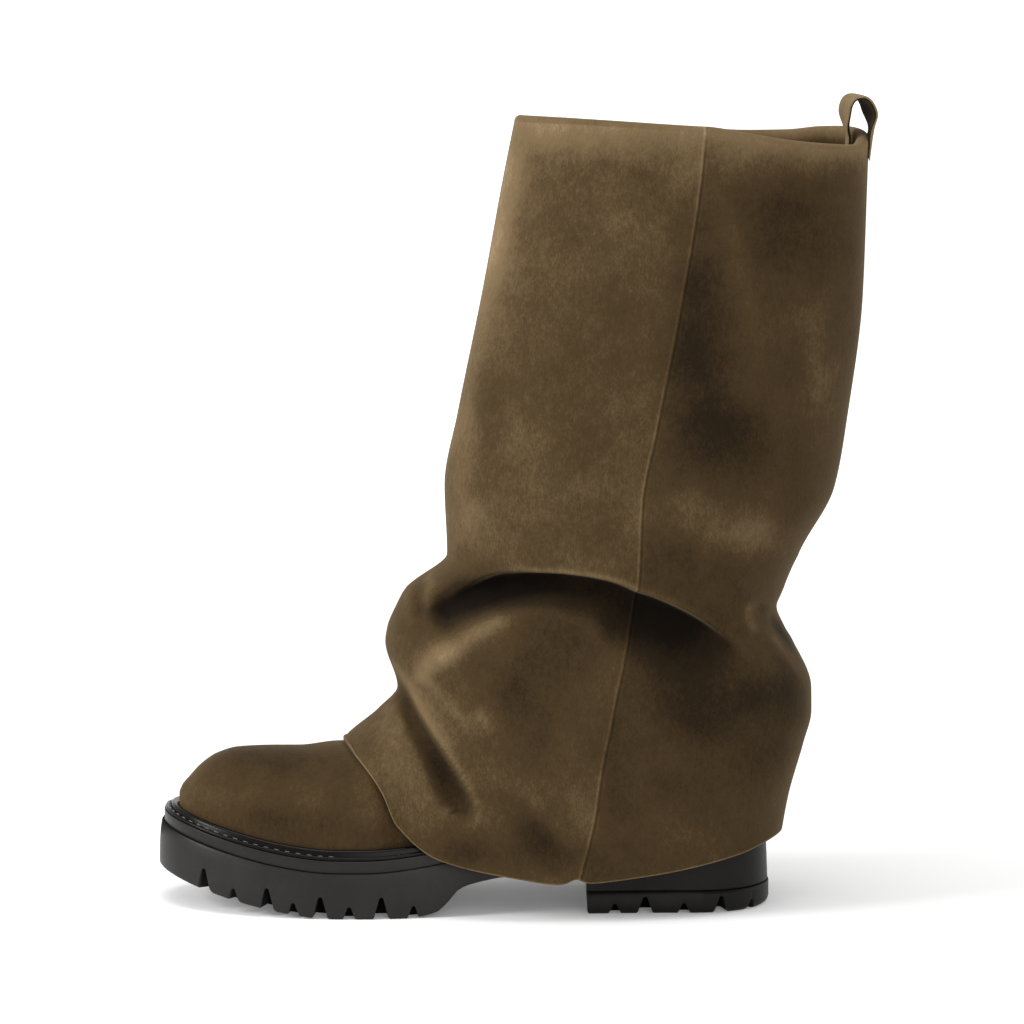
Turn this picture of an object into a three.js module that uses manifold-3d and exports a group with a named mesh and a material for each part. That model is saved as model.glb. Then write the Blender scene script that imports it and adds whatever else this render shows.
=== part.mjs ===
// A pull-on slouch boot for the left foot, empty and standing on its own sole.
// The upper is a suede foot and leg in one. The shaft is a wide suede tube that rolls over the collar,
// falls outside the leg, folds at the ankle and ends in a cut hem over the instep, the waist and the heel.
// It stands on a black rubber sole: a storm welt, a midsole, a lugged outsole and a stacked lugged heel.
//
// Millimetres, +Z up. The toe points along -X, and the outer side of the foot faces -Y.
// A place along the foot is a share of the sole's length: 0 at the back of the heel, 1 at the tip of the toe.
// A height is a share too: 0 at the platform under the ball, 1 at the neck of the shaft, 2 at the collar.
// Round a section, the angle runs from 0 at the front over 90 on the outer side and 180 at the back.
import * as THREE from "three";
import Module from "manifold-3d";
import { mergeVertices } from "three/addons/utils/BufferGeometryUtils.js";

const wasm = await Module();
wasm.setup();

// Driving sizes of the sole
const soleLength = 292;
const ballWidth = 106;
const outsoleThickness = 21.5;
const midsoleThickness = 5.5;
const midsoleStep = 2.5;
const heelRise = 18.7;
const toeSpring = 17.4;
const heelSeatThickness = 6;
const topliftThickness = 10.5;
const toeSwing = 5;
const swingFromShare = 0.6;
const edgeRound = 0.8;
const treadRound = 1.2;
const gap = 0.3;

// Driving sizes of the welt and the insole
const weltShelf = 7;
const weltThickness = 1.6;
const weltRoot = 2.5;
const beadWidth = 3.2;
const beadHeight = 4.2;
const beadRound = 1.3;
const insoleThickness = 3.5;

// Driving sizes of the upper and the shaft
const toeBoxHeight = 48;
const neckHeight = 139.7;
const collarHeight = 348.7;
const collarDrop = 16;
const upperWall = 2;
const shaftWall = 1.8;
const facingDepth = 14;
const foldDepth = 15;
const foldReach = 34;

// Driving sizes of the pull loop
const loopWidth = 19;
const loopThickness = 1.8;
const loopRise = 17.5;
const loopInside = 12;
const loopOutside = 10;
const loopFit = 2;
const loopBow = 2.5;
const loopShoulder = 10;
const loopTurnInside = 7;
const loopTurnOutside = 12;

// Lugs: the large and small notches at the edge of the tread, and the channel that frames its middle
const notchHeight = 10.5;
const notchInset = 15;
const notchBreadth = 5.6;
const notchCrest = 2.2;
const smallNotchHeight = 6;
const smallNotchInset = 9;
const smallNotchBreadth = 4.2;
const smallNotchCrest = 2;
const liftNotchHeight = 8.2;
const smallLiftNotchHeight = 5;
const largeNotch = { height: notchHeight, inset: notchInset, breadth: notchBreadth, crest: notchCrest };
const smallNotch = {
  height: smallNotchHeight,
  inset: smallNotchInset,
  breadth: smallNotchBreadth,
  crest: smallNotchCrest,
};
const largeLiftNotch = { ...largeNotch, height: liftNotchHeight };
const smallLiftNotch = { ...smallNotch, height: smallLiftNotchHeight };
const treadNotches = { large: [0.922, 0.818, 0.731, 0.632], small: [0.873, 0.775, 0.684, 0.58] };
const liftNotches = { large: [0.205, 0.081], small: [0.254, 0.142, 0.031] };
const channelFromShare = 0.56;
const channelInset = 19;
const channelWidth = 4.5;
const channelDepth = 5;

const platform = outsoleThickness + gap + midsoleThickness;
const degrees = Math.PI / 180;

// Half widths of the tread, as shares of the ball width, before the ends are rounded
const treadWidths = [
  { along: 0.0, outer: 0.355, inner: 0.355 },
  { along: 0.15, outer: 0.358, inner: 0.35 },
  { along: 0.3, outer: 0.378, inner: 0.312 },
  { along: 0.43, outer: 0.41, inner: 0.302 },
  { along: 0.55, outer: 0.455, inner: 0.372 },
  { along: 0.66, outer: 0.498, inner: 0.47 },
  { along: 0.75, outer: 0.505, inner: 0.495 },
  { along: 0.85, outer: 0.505, inner: 0.5 },
  { along: 1.0, outer: 0.505, inner: 0.5 },
];
const heelEnd = { from: 0.125, power: 2.25 };
const toeEnd = { from: 0.68, power: 2.25 };

// The underside of the outsole behind the ball, as shares of the outsole's thickness
const breast = [
  { along: 0.58, rise: 0 },
  { along: 0.543, rise: 0.12 },
  { along: 0.522, rise: 0.38 },
  { along: 0.51, rise: 0.58 },
  { along: 0.495, rise: 0.69 },
  { along: 0.445, rise: 0.85 },
];
const heelFrontShare = 0.299;

// Sections of the vamp in upright planes: the height of its crest over the sole, in toe box heights
const vamp = [
  { along: 0.9665, crest: 0.203 },
  { along: 0.962, crest: 0.275 },
  { along: 0.951, crest: 0.372 },
  { along: 0.932, crest: 0.53 },
  { along: 0.905, crest: 0.685 },
  { along: 0.87, crest: 0.798 },
  { along: 0.82, crest: 0.876 },
  { along: 0.768, crest: 0.929 },
  { along: 0.715, crest: 0.999 },
  { along: 0.68, crest: 1.013 },
  { along: 0.65, crest: 1.133 },
];

// Sections of the instep, heel and leg, each in a plane from a front point to a back point.
// The height of the back point, foot, is a share from the sole's top to the neck, and none inside the sole.
const leg = [
  { front: 0.621, top: 0.466, back: 0.5935, foot: null, width: 0.37, widest: 0.3, crown: 1.9, base: 6 },
  { front: 0.58, top: 0.555, back: 0.491, foot: null, width: 0.34, widest: 0.27, crown: 1.8, base: 5 },
  { front: 0.539, top: 0.64, back: 0.371, foot: null, width: 0.318, widest: 0.27, crown: 1.8, base: 4.5 },
  { front: 0.504, top: 0.722, back: 0.244, foot: null, width: 0.305, widest: 0.3, crown: 1.85, base: 4 },
  { front: 0.4805, top: 0.795, back: 0.121, foot: null, width: 0.3, widest: 0.34, crown: 1.95, base: 3 },
  { front: 0.4685, top: 0.86, back: 0.028, foot: -0.097, width: 0.298, widest: 0.4, crown: 2, base: 2.4 },
  { front: 0.463, top: 0.92, back: 0.01, foot: 0.033, width: 0.3, widest: 0.44, crown: 2.1, base: 2.2 },
  { front: 0.463, top: 0.985, back: 0.008, foot: 0.215, width: 0.305, widest: 0.48, crown: 2.1, base: 2.1 },
  { front: 0.463, top: 1.033, back: 0.0216, foot: 0.405, width: 0.312, widest: 0.5, crown: 2.1, base: 2.1 },
  { front: 0.463, top: 1.081, back: 0.0387, foot: 0.595, width: 0.328, widest: 0.5, crown: 2.1, base: 2.1 },
  { front: 0.463, top: 1.139, back: 0.0455, foot: 0.801, width: 0.35, widest: 0.5, crown: 2.15, base: 2.1 },
  { front: 0.4617, top: 1.22, back: 0.032, foot: 1.038, width: 0.378, widest: 0.5, crown: 2.2, base: 2.15 },
  { front: 0.453, top: 1.38, back: -0.023, foot: 1.2775, width: 0.41, widest: 0.5, crown: 2.2, base: 2.2 },
  { front: 0.4394, top: 1.6, back: -0.088, foot: 1.56, width: 0.44, widest: 0.49, crown: 2.2, base: 2.2 },
];

// Level sections of the shaft's outside: where its front, seam and back stand, and its half width
const shaft = [
  { height: 2.0, front: 0.4175, seam: 0.114, back: -0.155, width: 0.49, nose: 2.2 },
  { height: 1.861, front: 0.4366, seam: 0.1235, back: -0.1525, width: 0.51, nose: 2.2 },
  { height: 1.608, front: 0.469, seam: 0.152, back: -0.147, width: 0.55, nose: 2.2 },
  { height: 1.321, front: 0.51, seam: 0.191, back: -0.1235, width: 0.585, nose: 2.2 },
  { height: 1.158, front: 0.531, seam: 0.2135, back: -0.1035, width: 0.61, nose: 2.2 },
  { height: 1.0, front: 0.527, seam: 0.2185, back: -0.045, width: 0.625, nose: 2.1 },
  { height: 0.878, front: 0.595, seam: 0.227, back: -0.02, width: 0.6, nose: 2.0 },
  { height: 0.823, front: 0.6097, seam: 0.2314, back: -0.0105, width: 0.605, nose: 2.0 },
  { height: 0.745, front: 0.625, seam: 0.2383, back: -0.0245, width: 0.6196, nose: 2.0 },
  { height: 0.699, front: 0.628, seam: 0.2425, back: -0.0375, width: 0.625, nose: 2.0 },
  { height: 0.542, front: 0.6085, seam: 0.258, back: -0.068, width: 0.63, nose: 1.9 },
  { height: 0.463, front: 0.64, seam: 0.2645, back: -0.0685, width: 0.625, nose: 1.85 },
  { height: 0.358, front: 0.697, seam: 0.275, back: -0.0565, width: 0.61, nose: 1.85 },
  { height: 0.1625, front: 0.737, seam: 0.2885, back: -0.031, width: 0.595, nose: 1.95 },
  { height: -0.08, front: 0.75, seam: 0.316, back: -0.012, width: 0.57, nose: 2.1 },
];

// The cut hem seen from the side
const hem = [
  { along: 0.72, height: 0.362 },
  { along: 0.6965, height: 0.357 },
  { along: 0.671, height: 0.295 },
  { along: 0.63, height: 0.208 },
  { along: 0.606, height: 0.112 },
  { along: 0.5405, height: 0.009 },
  { along: 0.41, height: -0.048 },
  { along: 0.345, height: -0.066 },
  { along: 0.2, height: -0.038 },
  { along: 0.0526, height: 0.014 },
  { along: -0.0196, height: 0.055 },
  { along: -0.08, height: 0.07 },
];

// The lip of the ankle fold, by the angle round the shaft, and how deep the trough under it is there
const lip = [
  { angle: 0, height: 0.7, depth: 0 },
  { angle: 30, height: 0.72, depth: 0.05 },
  { angle: 45, height: 0.857, depth: 0.75 },
  { angle: 66, height: 0.957, depth: 1 },
  { angle: 88, height: 0.935, depth: 0.85 },
  { angle: 105, height: 0.843, depth: 0.6 },
  { angle: 125, height: 0.755, depth: 0.3 },
  { angle: 150, height: 0.72, depth: 0 },
  { angle: 180, height: 0.72, depth: 0 },
];

// A smooth curve through one column of a table, read at a value of another column
function read(table, key, at, value) {
  const rows = table[0][at] < table[table.length - 1][at] ? table : [...table].reverse();
  if (value <= rows[0][at]) return rows[0][key];
  const last = rows.length - 1;
  if (value >= rows[last][at]) return rows[last][key];
  let i = 0;
  while (rows[i + 1][at] < value) i++;
  const span = rows[i + 1][at] - rows[i][at];
  const chord = (k) => (rows[k + 1][key] - rows[k][key]) / (rows[k + 1][at] - rows[k][at]);
  const slope = (k) => {
    if (k === 0) return chord(0);
    if (k === last) return chord(last - 1);
    const before = chord(k - 1);
    const after = chord(k);
    return before * after <= 0 ? 0 : (2 * before * after) / (before + after);
  };
  const t = (value - rows[i][at]) / span;
  const t2 = t * t;
  const t3 = t2 * t;
  return (
    (2 * t3 - 3 * t2 + 1) * rows[i][key] +
    (t3 - 2 * t2 + t) * span * slope(i) +
    (3 * t2 - 2 * t3) * rows[i + 1][key] +
    (t3 - t2) * span * slope(i + 1)
  );
}

const smooth = (t) => {
  const s = Math.min(1, Math.max(0, t));
  return s * s * (3 - 2 * s);
};
const mix = (a, b, t) => a + (b - a) * t;
const power = (v, n) => Math.pow(Math.abs(v), n);

// Places and heights in millimetres from their shares
const placeX = (along) => -along * soleLength;
function placeZ(height) {
  if (height <= 1) return platform + height * neckHeight;
  return platform + neckHeight + (height - 1) * (collarHeight - neckHeight);
}

// The top of the midsole along the foot: the toe's spring and the heel's rise over the platform
const springFromShare = 0.713;
const springPower = 1.6;
const riseFromShare = 0.662;
const riseToShare = 0.234;
function soleTop(x) {
  const along = -x / soleLength;
  const spring = Math.pow(Math.max(0, (along - springFromShare) / (1 - springFromShare)), springPower);
  return platform + toeSpring * spring + heelRise * smooth((riseFromShare - along) / (riseFromShare - riseToShare));
}
const outsoleTop = (x) => soleTop(x) - midsoleThickness - gap;

// The tread's half widths at a share of the length, drawn in on all sides by an inset
function footprint(along, inset) {
  const drawn = 0.5 + (along - 0.5) / (1 - (2 * inset) / soleLength);
  const place = Math.min(1, Math.max(0, drawn));
  const toe = Math.max(0, (place - toeEnd.from) / (1 - toeEnd.from));
  const heel = Math.max(0, (heelEnd.from - place) / heelEnd.from);
  const toeRound = Math.pow(1 - Math.pow(toe, toeEnd.power), 1 / toeEnd.power);
  const heelRound = Math.pow(1 - Math.pow(heel, heelEnd.power), 1 / heelEnd.power);
  const reach = ballWidth * (1 - (2 * inset) / ballWidth) * toeRound * heelRound;
  const swing = toeSwing * smooth((place - swingFromShare) / (1 - swingFromShare));
  return {
    outer: swing - reach * read(treadWidths, "outer", "along", place),
    inner: swing + reach * read(treadWidths, "inner", "along", place),
  };
}
const insetX = (share, inset) => placeX(0.5 + (share - 0.5) * (1 - (2 * inset) / soleLength));

// A closed mesh from triangles of points, as a solid
function solidOf(points, faces) {
  const geometry = new THREE.BufferGeometry();
  geometry.setAttribute("position", new THREE.Float32BufferAttribute(points.flat(), 3));
  geometry.setIndex(faces.flat());
  const merged = mergeVertices(geometry, 1e-4);
  const index = merged.index.array;
  const triVerts = [];
  for (let i = 0; i < index.length; i += 3) {
    const [a, b, c] = [index[i], index[i + 1], index[i + 2]];
    if (a !== b && b !== c && a !== c) triVerts.push(a, b, c);
  }
  const mesh = { numProp: 3, vertProperties: merged.attributes.position.array };
  return new wasm.Manifold(new wasm.Mesh({ ...mesh, triVerts: new Uint32Array(triVerts) }));
}

// A tube of closed loops with as many points each, capped by a fan at either end
function loft(loops) {
  const around = loops[0].length;
  const points = loops.flat();
  const faces = [];
  for (let i = 0; i + 1 < loops.length; i++) {
    for (let j = 0; j < around; j++) {
      const a = i * around + j;
      const b = i * around + ((j + 1) % around);
      faces.push([a, b, a + around], [b, b + around, a + around]);
    }
  }
  for (const [row, turn] of [[0, 1], [loops.length - 1, 0]]) {
    const centre = points.length;
    const loop = loops[row];
    points.push([0, 1, 2].map((k) => loop.reduce((sum, p) => sum + p[k], 0) / around));
    for (let j = 0; j < around; j++) {
      const a = row * around + j;
      const b = row * around + ((j + 1) % around);
      faces.push(turn ? [centre, b, a] : [centre, a, b]);
    }
  }
  return solidOf(points, faces);
}

// A tube of loops whose last loop joins its first, as a ring or a folded wall
function closedLoft(loops) {
  const around = loops[0].length;
  const faces = [];
  for (let i = 0; i < loops.length; i++) {
    const next = ((i + 1) % loops.length) * around;
    for (let j = 0; j < around; j++) {
      const a = i * around + j;
      const b = i * around + ((j + 1) % around);
      const c = next + j;
      const d = next + ((j + 1) % around);
      faces.push([a, b, c], [b, d, c]);
    }
  }
  return solidOf(loops.flat(), faces);
}

// Stations along a layer of the sole, closer together at its round ends
function stations(from, to, count) {
  const list = [];
  for (let i = 0; i <= count; i++) {
    const t = i / count;
    list.push(mix(from, to, mix(t, 0.5 - 0.5 * Math.cos(Math.PI * t), 0.85)));
  }
  return list;
}

// A layer of the sole: rings at growing heights, each with its own inset from the tread's edge
function layer(shares, rings) {
  const loops = rings.map(({ inset, z }) => {
    const outer = [];
    const inner = [];
    for (const share of shares) {
      const x = insetX(share, inset);
      const edge = footprint(-x / soleLength, inset);
      outer.push([x, edge.outer, z(x)]);
      inner.unshift([x, edge.inner, z(x)]);
    }
    return [...outer, ...inner];
  });
  const points = loops.flat();
  const around = loops[0].length;
  const faces = [];
  for (let i = 0; i + 1 < loops.length; i++) {
    for (let j = 0; j < around; j++) {
      const a = i * around + j;
      const b = i * around + ((j + 1) % around);
      faces.push([a, a + around, b], [b, a + around, b + around]);
    }
  }
  const top = (loops.length - 1) * around;
  for (let j = 0; j + 1 < around / 2; j++) {
    const [a, b, c, d] = [j, j + 1, around - 2 - j, around - 1 - j];
    faces.push([a, b, c], [a, c, d], [top + a, top + c, top + b], [top + a, top + d, top + c]);
  }
  return solidOf(points, faces);
}

// A wedge that cuts one notch into the tread's edge at a place, square to the edge
function notch(along, side, size, lift) {
  const step = 0.004;
  const edge = (share) => new THREE.Vector2(placeX(share), footprint(share, 0)[side]);
  const out = side === "outer" ? 1 : -1;
  const run = edge(along + step).sub(edge(along - step)).normalize();
  const inward = new THREE.Vector2(-run.y, run.x).multiplyScalar(-out);
  const rim = edge(along);
  const corner = (across, depth, z) => {
    const p = rim.clone().addScaledVector(run, across).addScaledVector(inward, depth);
    return [p.x, p.y, z];
  };
  const floor = lift - size.crest;
  const roof = lift + size.height;
  const foot = size.breadth / 2;
  const head = size.crest / 2;
  const ring = (depth, shrink) => [
    corner(-foot, depth, floor),
    corner(foot, depth, floor),
    corner(head, depth, mix(floor, roof, shrink)),
    corner(-head, depth, mix(floor, roof, shrink)),
  ];
  const made = loft([ring(-size.crest, 1), ring(size.inset, 0.9)]);
  return made.volume() > 0 ? made : loft([ring(size.inset, 0.9), ring(-size.crest, 1)]);
}

// The notches on both edges of a tread
function notches(places, large, small, lift) {
  const cuts = [];
  for (const side of ["outer", "inner"]) {
    for (const along of places.large) cuts.push(notch(along, side, large, lift(along)));
    for (const along of places.small) cuts.push(notch(along, side, small, lift(along)));
  }
  return cuts;
}

function outsoleUnderside(x) {
  const along = -x / soleLength;
  const spring = soleTop(x) - platform;
  if (along >= breast[0].along) return along > springFromShare ? spring : 0;
  const seat = outsoleTop(x) - heelSeatThickness;
  const last = breast[breast.length - 1];
  if (along <= heelFrontShare) return seat;
  const front = outsoleThickness * read(breast, "rise", "along", along);
  return mix(front, seat, smooth((last.along - along) / (last.along - heelFrontShare)));
}

// The channel that frames the middle of the forefoot's tread
function channel() {
  const shares = stations(channelFromShare, 1, 18);
  const under = (x) => outsoleUnderside(x) - channelDepth;
  const roof = (x) => outsoleUnderside(x) + channelDepth;
  const cut = (inset) => layer(shares, [{ inset, z: under }, { inset, z: roof }]);
  return cut(channelInset).subtract(cut(channelInset + channelWidth));
}

function outsole() {
  const shares = [...stations(0, 1, 32)];
  for (const row of breast) shares.push(row.along);
  shares.push(heelFrontShare, heelFrontShare + 0.004);
  shares.sort((a, b) => a - b);
  const block = layer(shares, [
    { inset: treadRound, z: outsoleUnderside },
    { inset: 0, z: (x) => mix(outsoleUnderside(x), outsoleTop(x), 0.12) },
    { inset: midsoleStep / 2, z: outsoleTop },
  ]);
  const cuts = notches(treadNotches, largeNotch, smallNotch, (along) => outsoleUnderside(placeX(along)));
  cuts.push(channel());
  return cuts.reduce((solid, cut) => solid.subtract(cut), block);
}

function heelPiece(rings) {
  const shares = stations(0, 2 * heelFrontShare, 40).filter((share) => share < heelFrontShare - 0.004);
  shares.push(heelFrontShare);
  return layer(shares, rings);
}

function heelBlock() {
  return heelPiece([
    { inset: edgeRound, z: () => topliftThickness + gap },
    { inset: edgeRound, z: (x) => outsoleUnderside(x) - heelSeatThickness },
    { inset: treadRound, z: (x) => outsoleUnderside(x) - gap },
  ]);
}

function toplift() {
  const block = heelPiece([
    { inset: treadRound, z: () => 0 },
    { inset: 0, z: () => treadRound },
    { inset: 0, z: () => topliftThickness - edgeRound },
    { inset: edgeRound, z: () => topliftThickness },
  ]);
  const cuts = notches(liftNotches, largeLiftNotch, smallLiftNotch, () => 0);
  return cuts.reduce((solid, cut) => solid.subtract(cut), block);
}

function midsole() {
  return layer(stations(0, 1, 32), [
    { inset: midsoleStep + edgeRound, z: (x) => soleTop(x) - midsoleThickness },
    { inset: midsoleStep, z: (x) => soleTop(x) - midsoleThickness + edgeRound },
    { inset: midsoleStep, z: (x) => soleTop(x) - edgeRound },
    { inset: midsoleStep + edgeRound, z: soleTop },
  ]);
}

// One planar section of the last, from its front or top point to its back or bottom point
const columns = 32;
function sectionLoop(section) {
  const { front, back, widest, centre, halfWidth, crown, base } = section;
  const middle = [mix(back[0], front[0], widest), mix(back[1], front[1], widest)];
  const loop = [];
  for (let j = 0; j < columns; j++) {
    const angle = (j / columns) * 2 * Math.PI;
    const [c, s] = [Math.cos(angle), Math.sin(angle)];
    const end = c > 0 ? front : back;
    const n = c > 0 ? crown : base;
    const reach = power(c, 2 / n);
    const across = Math.sign(s) * power(s, 2 / n) * halfWidth;
    loop.push([mix(middle[0], end[0], reach), centre - across, mix(middle[1], end[1], reach)]);
  }
  return loop;
}

// The foot part of the last stands this deep in the sole before it is cut off at the sole's top
const rootDepth = 9;
const shelfInset = midsoleStep + weltShelf;

const vampCrest = (row) => soleTop(placeX(row.along)) + row.crest * toeBoxHeight;

function vampSection(along, top) {
  const edge = footprint(along, shelfInset);
  const x = placeX(along);
  return {
    front: [x, top],
    back: [x, soleTop(x) - rootDepth],
    widest: 0.34,
    centre: (edge.outer + edge.inner) / 2,
    halfWidth: (edge.inner - edge.outer) / 2,
    crown: 2.25,
    base: 7,
  };
}

function backZ(x, foot) {
  if (foot === null) return soleTop(x) - rootDepth;
  return foot < 1 ? mix(soleTop(x), placeZ(1), foot) : placeZ(foot);
}

function legSection(row) {
  const x = placeX(row.back);
  return {
    front: [placeX(row.front), placeZ(row.top)],
    back: [x, backZ(x, row.foot)],
    widest: row.widest,
    centre: 0,
    halfWidth: row.width * ballWidth,
    crown: row.crown,
    base: row.base,
  };
}

// The shaft's outside at an angle and a height share, with the ankle fold pressed into it
const foldBump = (t) => (t <= 0 || t >= 1 ? 0 : smooth(t / 0.16) * (1 - smooth((t - 0.16) / 0.84)));
const mirrored = (angle) => (angle > 180 ? 360 - angle : angle);

// How far the collar's rim dips round the shaft, as shares of its drop: it sags at the back of the outer side
const collarRim = [
  { angle: 0, outer: 0.2, inner: 0.2 },
  { angle: 45, outer: 0.125, inner: 0.456 },
  { angle: 90, outer: 0.306, inner: 0.8 },
  { angle: 103, outer: 0.506, inner: 0.875 },
  { angle: 120, outer: 0.738, inner: 0.838 },
  { angle: 137, outer: 0.875, inner: 0.7 },
  { angle: 158, outer: 0.97, inner: 0.638 },
  { angle: 170, outer: 0.825, inner: 0.662 },
  { angle: 180, outer: 0.69, inner: 0.69 },
];

function shaftPoint(angle, height) {
  const turn = mirrored(angle);
  const side = angle > 180 ? 1 : -1;
  const [c, s] = [Math.cos(turn * degrees), Math.sin(turn * degrees)];
  const get = (key) => read(shaft, key, "height", height);
  const n = c > 0 ? get("nose") : 2.2;
  const seam = placeX(get("seam"));
  const x = mix(seam, placeX(get(c > 0 ? "front" : "back")), power(c, 2 / n));
  const above = Math.max(0, height - 1);
  const dip = collarDrop * read(collarRim, side < 0 ? "outer" : "inner", "angle", turn);
  const z = placeZ(height) - dip * above * above;
  const under = (placeZ(read(lip, "height", "angle", turn)) - z) / foldReach;
  const press = foldDepth * read(lip, "depth", "angle", turn) * foldBump(under);
  const y = power(s, 2 / n) * (get("width") * ballWidth) - press;
  return [x, side * Math.max(0, y), z];
}

// Where a column of the shaft meets the hem
function hemHeight(angle) {
  let low = shaft[shaft.length - 1].height;
  let high = 0.5;
  for (let i = 0; i < 30; i++) {
    const middle = (low + high) / 2;
    const [x, , z] = shaftPoint(angle, middle);
    const cut = placeZ(read(hem, "height", "along", -x / soleLength));
    if (z > cut) high = middle;
    else low = middle;
  }
  return high;
}

// The roll at the collar: the shaft's wall turns over the leg's top edge and faces the inside
const rollRadius = (shaftWall + gap + upperWall + gap + shaftWall) / 2;
const legInset = shaftWall + gap;
const facingHeight = 2 - facingDepth / (collarHeight - neckHeight);
const legTop = [
  { height: 1.8, ease: 2 * upperWall },
  { height: 1.9, ease: 0 },
  { height: 2 - legInset / (collarHeight - neckHeight), ease: 0 },
];

// Moves a loop inward in its own plane, square to the loop
function drawIn(loop, distance, drop) {
  const count = loop.length;
  return loop.map((p, j) => {
    const before = loop[(j + count - 1) % count];
    const after = loop[(j + 1) % count];
    const run = new THREE.Vector2(after[0] - before[0], after[1] - before[1]).normalize();
    return [p[0] - run.y * distance, p[1] + run.x * distance, p[2] - drop];
  });
}
function levelLoop(height, count) {
  const loop = [];
  for (let j = 0; j < count; j++) loop.push(shaftPoint((j / count) * 360, height));
  return loop;
}

// The last: its sections from the toe to the collar, grown or shrunk by an offset square to the surface
function lastLoops() {
  const loops = vamp.map((row) => sectionLoop(vampSection(row.along, vampCrest(row))));
  for (const row of leg) loops.push(sectionLoop(legSection(row)));
  for (const { height, ease } of legTop) loops.push(drawIn(levelLoop(height, columns), legInset + ease, 0));
  return loops;
}

// The unit normals of a grid of loops, outward
function gridNormals(loops) {
  const vector = (p) => new THREE.Vector3(...p);
  return loops.map((loop, i) =>
    loop.map((_, j) => {
      const count = loop.length;
      const above = vector(loops[Math.min(i + 1, loops.length - 1)][j]);
      const below = vector(loops[Math.max(i - 1, 0)][j]);
      const after = vector(loop[(j + 1) % count]);
      const before = vector(loop[(j + count - 1) % count]);
      return above.sub(below).cross(after.sub(before)).normalize().negate();
    }),
  );
}
function offsetLoops(loops, distance) {
  const normals = gridNormals(loops);
  return loops.map((loop, i) =>
    loop.map((p, j) => {
      const n = normals[i][j];
      return [p[0] + n.x * distance, p[1] + n.y * distance, p[2] + n.z * distance];
    }),
  );
}

// A solid of the last at an offset, run past the collar by an extension
function lastSolid(offset, extension) {
  const loops = offset === 0 ? lastLoops() : offsetLoops(lastLoops(), offset);
  if (offset !== 0) loops[0] = loops[0].map((p) => [p[0] - offset, p[1], p[2]]);
  if (extension) {
    const top = loops[loops.length - 1];
    loops.push(top.map((p) => [p[0], p[1], p[2] + extension]));
  }
  return loft(loops);
}

// Everything below the sole's top, raised by a clearance
function underSole(clearance) {
  const shares = stations(-0.1, 1.1, 40);
  const wide = ballWidth;
  const loops = shares.map((share) => {
    const x = placeX(share);
    const z = soleTop(x) + clearance;
    return [[x, -wide, -wide], [x, wide, -wide], [x, wide, z], [x, -wide, z]];
  });
  const made = loft(loops);
  return made.volume() > 0 ? made : loft([...loops].reverse());
}

function upper() {
  return lastSolid(0, 0).subtract(lastSolid(-upperWall, facingDepth)).subtract(underSole(gap));
}

function insole() {
  const inside = lastSolid(-upperWall - gap, 0);
  const top = underSole(gap + insoleThickness);
  return inside.intersect(top).subtract(underSole(gap));
}

// The storm welt: a flat shelf round the upper with a raised bead against it
function welt() {
  const shares = stations(0, 1, 32);
  const rim = midsoleStep + edgeRound;
  const bead = shelfInset - beadWidth;
  const base = (x) => soleTop(x) + gap;
  const shelf = (x) => base(x) + weltThickness;
  const crest = (x) => base(x) + beadHeight;
  const body = layer(shares, [
    { inset: rim, z: base },
    { inset: rim, z: (x) => shelf(x) - edgeRound },
    { inset: rim + edgeRound, z: shelf },
    { inset: bead, z: shelf },
    { inset: bead + beadRound / 3, z: (x) => crest(x) - beadRound },
    { inset: bead + beadRound, z: crest },
  ]);
  const hollow = layer(shares, [
    { inset: shelfInset + weltRoot, z: (x) => base(x) - beadHeight },
    { inset: shelfInset + weltRoot, z: (x) => crest(x) + beadHeight },
  ]);
  return body.subtract(hollow).subtract(lastSolid(gap, 0));
}

// Lays a point of the shaft on the vamp, or at least keeps it clear of it
const vampCover = shaftWall + gap + 1.9;
const crestLine = [
  ...vamp.map((row) => ({ along: row.along, top: vampCrest(row) })),
  ...leg.slice(0, 3).map((row) => ({ along: row.front, top: placeZ(row.top) })),
];
function overVamp(point) {
  const [x, y, z] = point;
  const along = -x / soleLength;
  if (along < 0.56 || z > placeZ(0.62)) return point;
  const section = vampSection(along, read(crestLine, "top", "along", along));
  const height = section.front[1] - section.back[1];
  const middle = section.back[1] + section.widest * height;
  const up = Math.max(0, z - middle) / (section.front[1] - middle + vampCover);
  const out = Math.abs(y - section.centre) / (section.halfWidth + vampCover);
  const n = section.crown;
  const rho = Math.pow(power(up, n) + power(out, n), 1 / n);
  if (rho >= 1) return point;
  const reach = Math.max(rho, 0.05);
  const lifted = z > middle ? middle + (z - middle) / reach : z;
  return [x, section.centre + (y - section.centre) / reach, lifted];
}

// The shaft: rows from the hem up to the fold's lip, on to the collar and over its roll
const rowsBelowLip = 10;
const rowsAboveLip = 9;
function shaftWallLoops() {
  const loops = [];
  for (let i = 0; i <= rowsBelowLip + rowsAboveLip; i++) {
    const loop = [];
    for (let j = 0; j < columns; j++) {
      const angle = (j / columns) * 360;
      const edge = read(lip, "height", "angle", mirrored(angle));
      const low = hemHeight(angle);
      let height;
      if (i <= rowsBelowLip) height = mix(low, edge, 1 - Math.pow(1 - i / rowsBelowLip, 1.35));
      else height = mix(edge, 2, Math.pow((i - rowsBelowLip) / rowsAboveLip, 1.45));
      loop.push(overVamp(shaftPoint(angle, height)));
    }
    loops.push(loop);
  }
  return loops;
}

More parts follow.
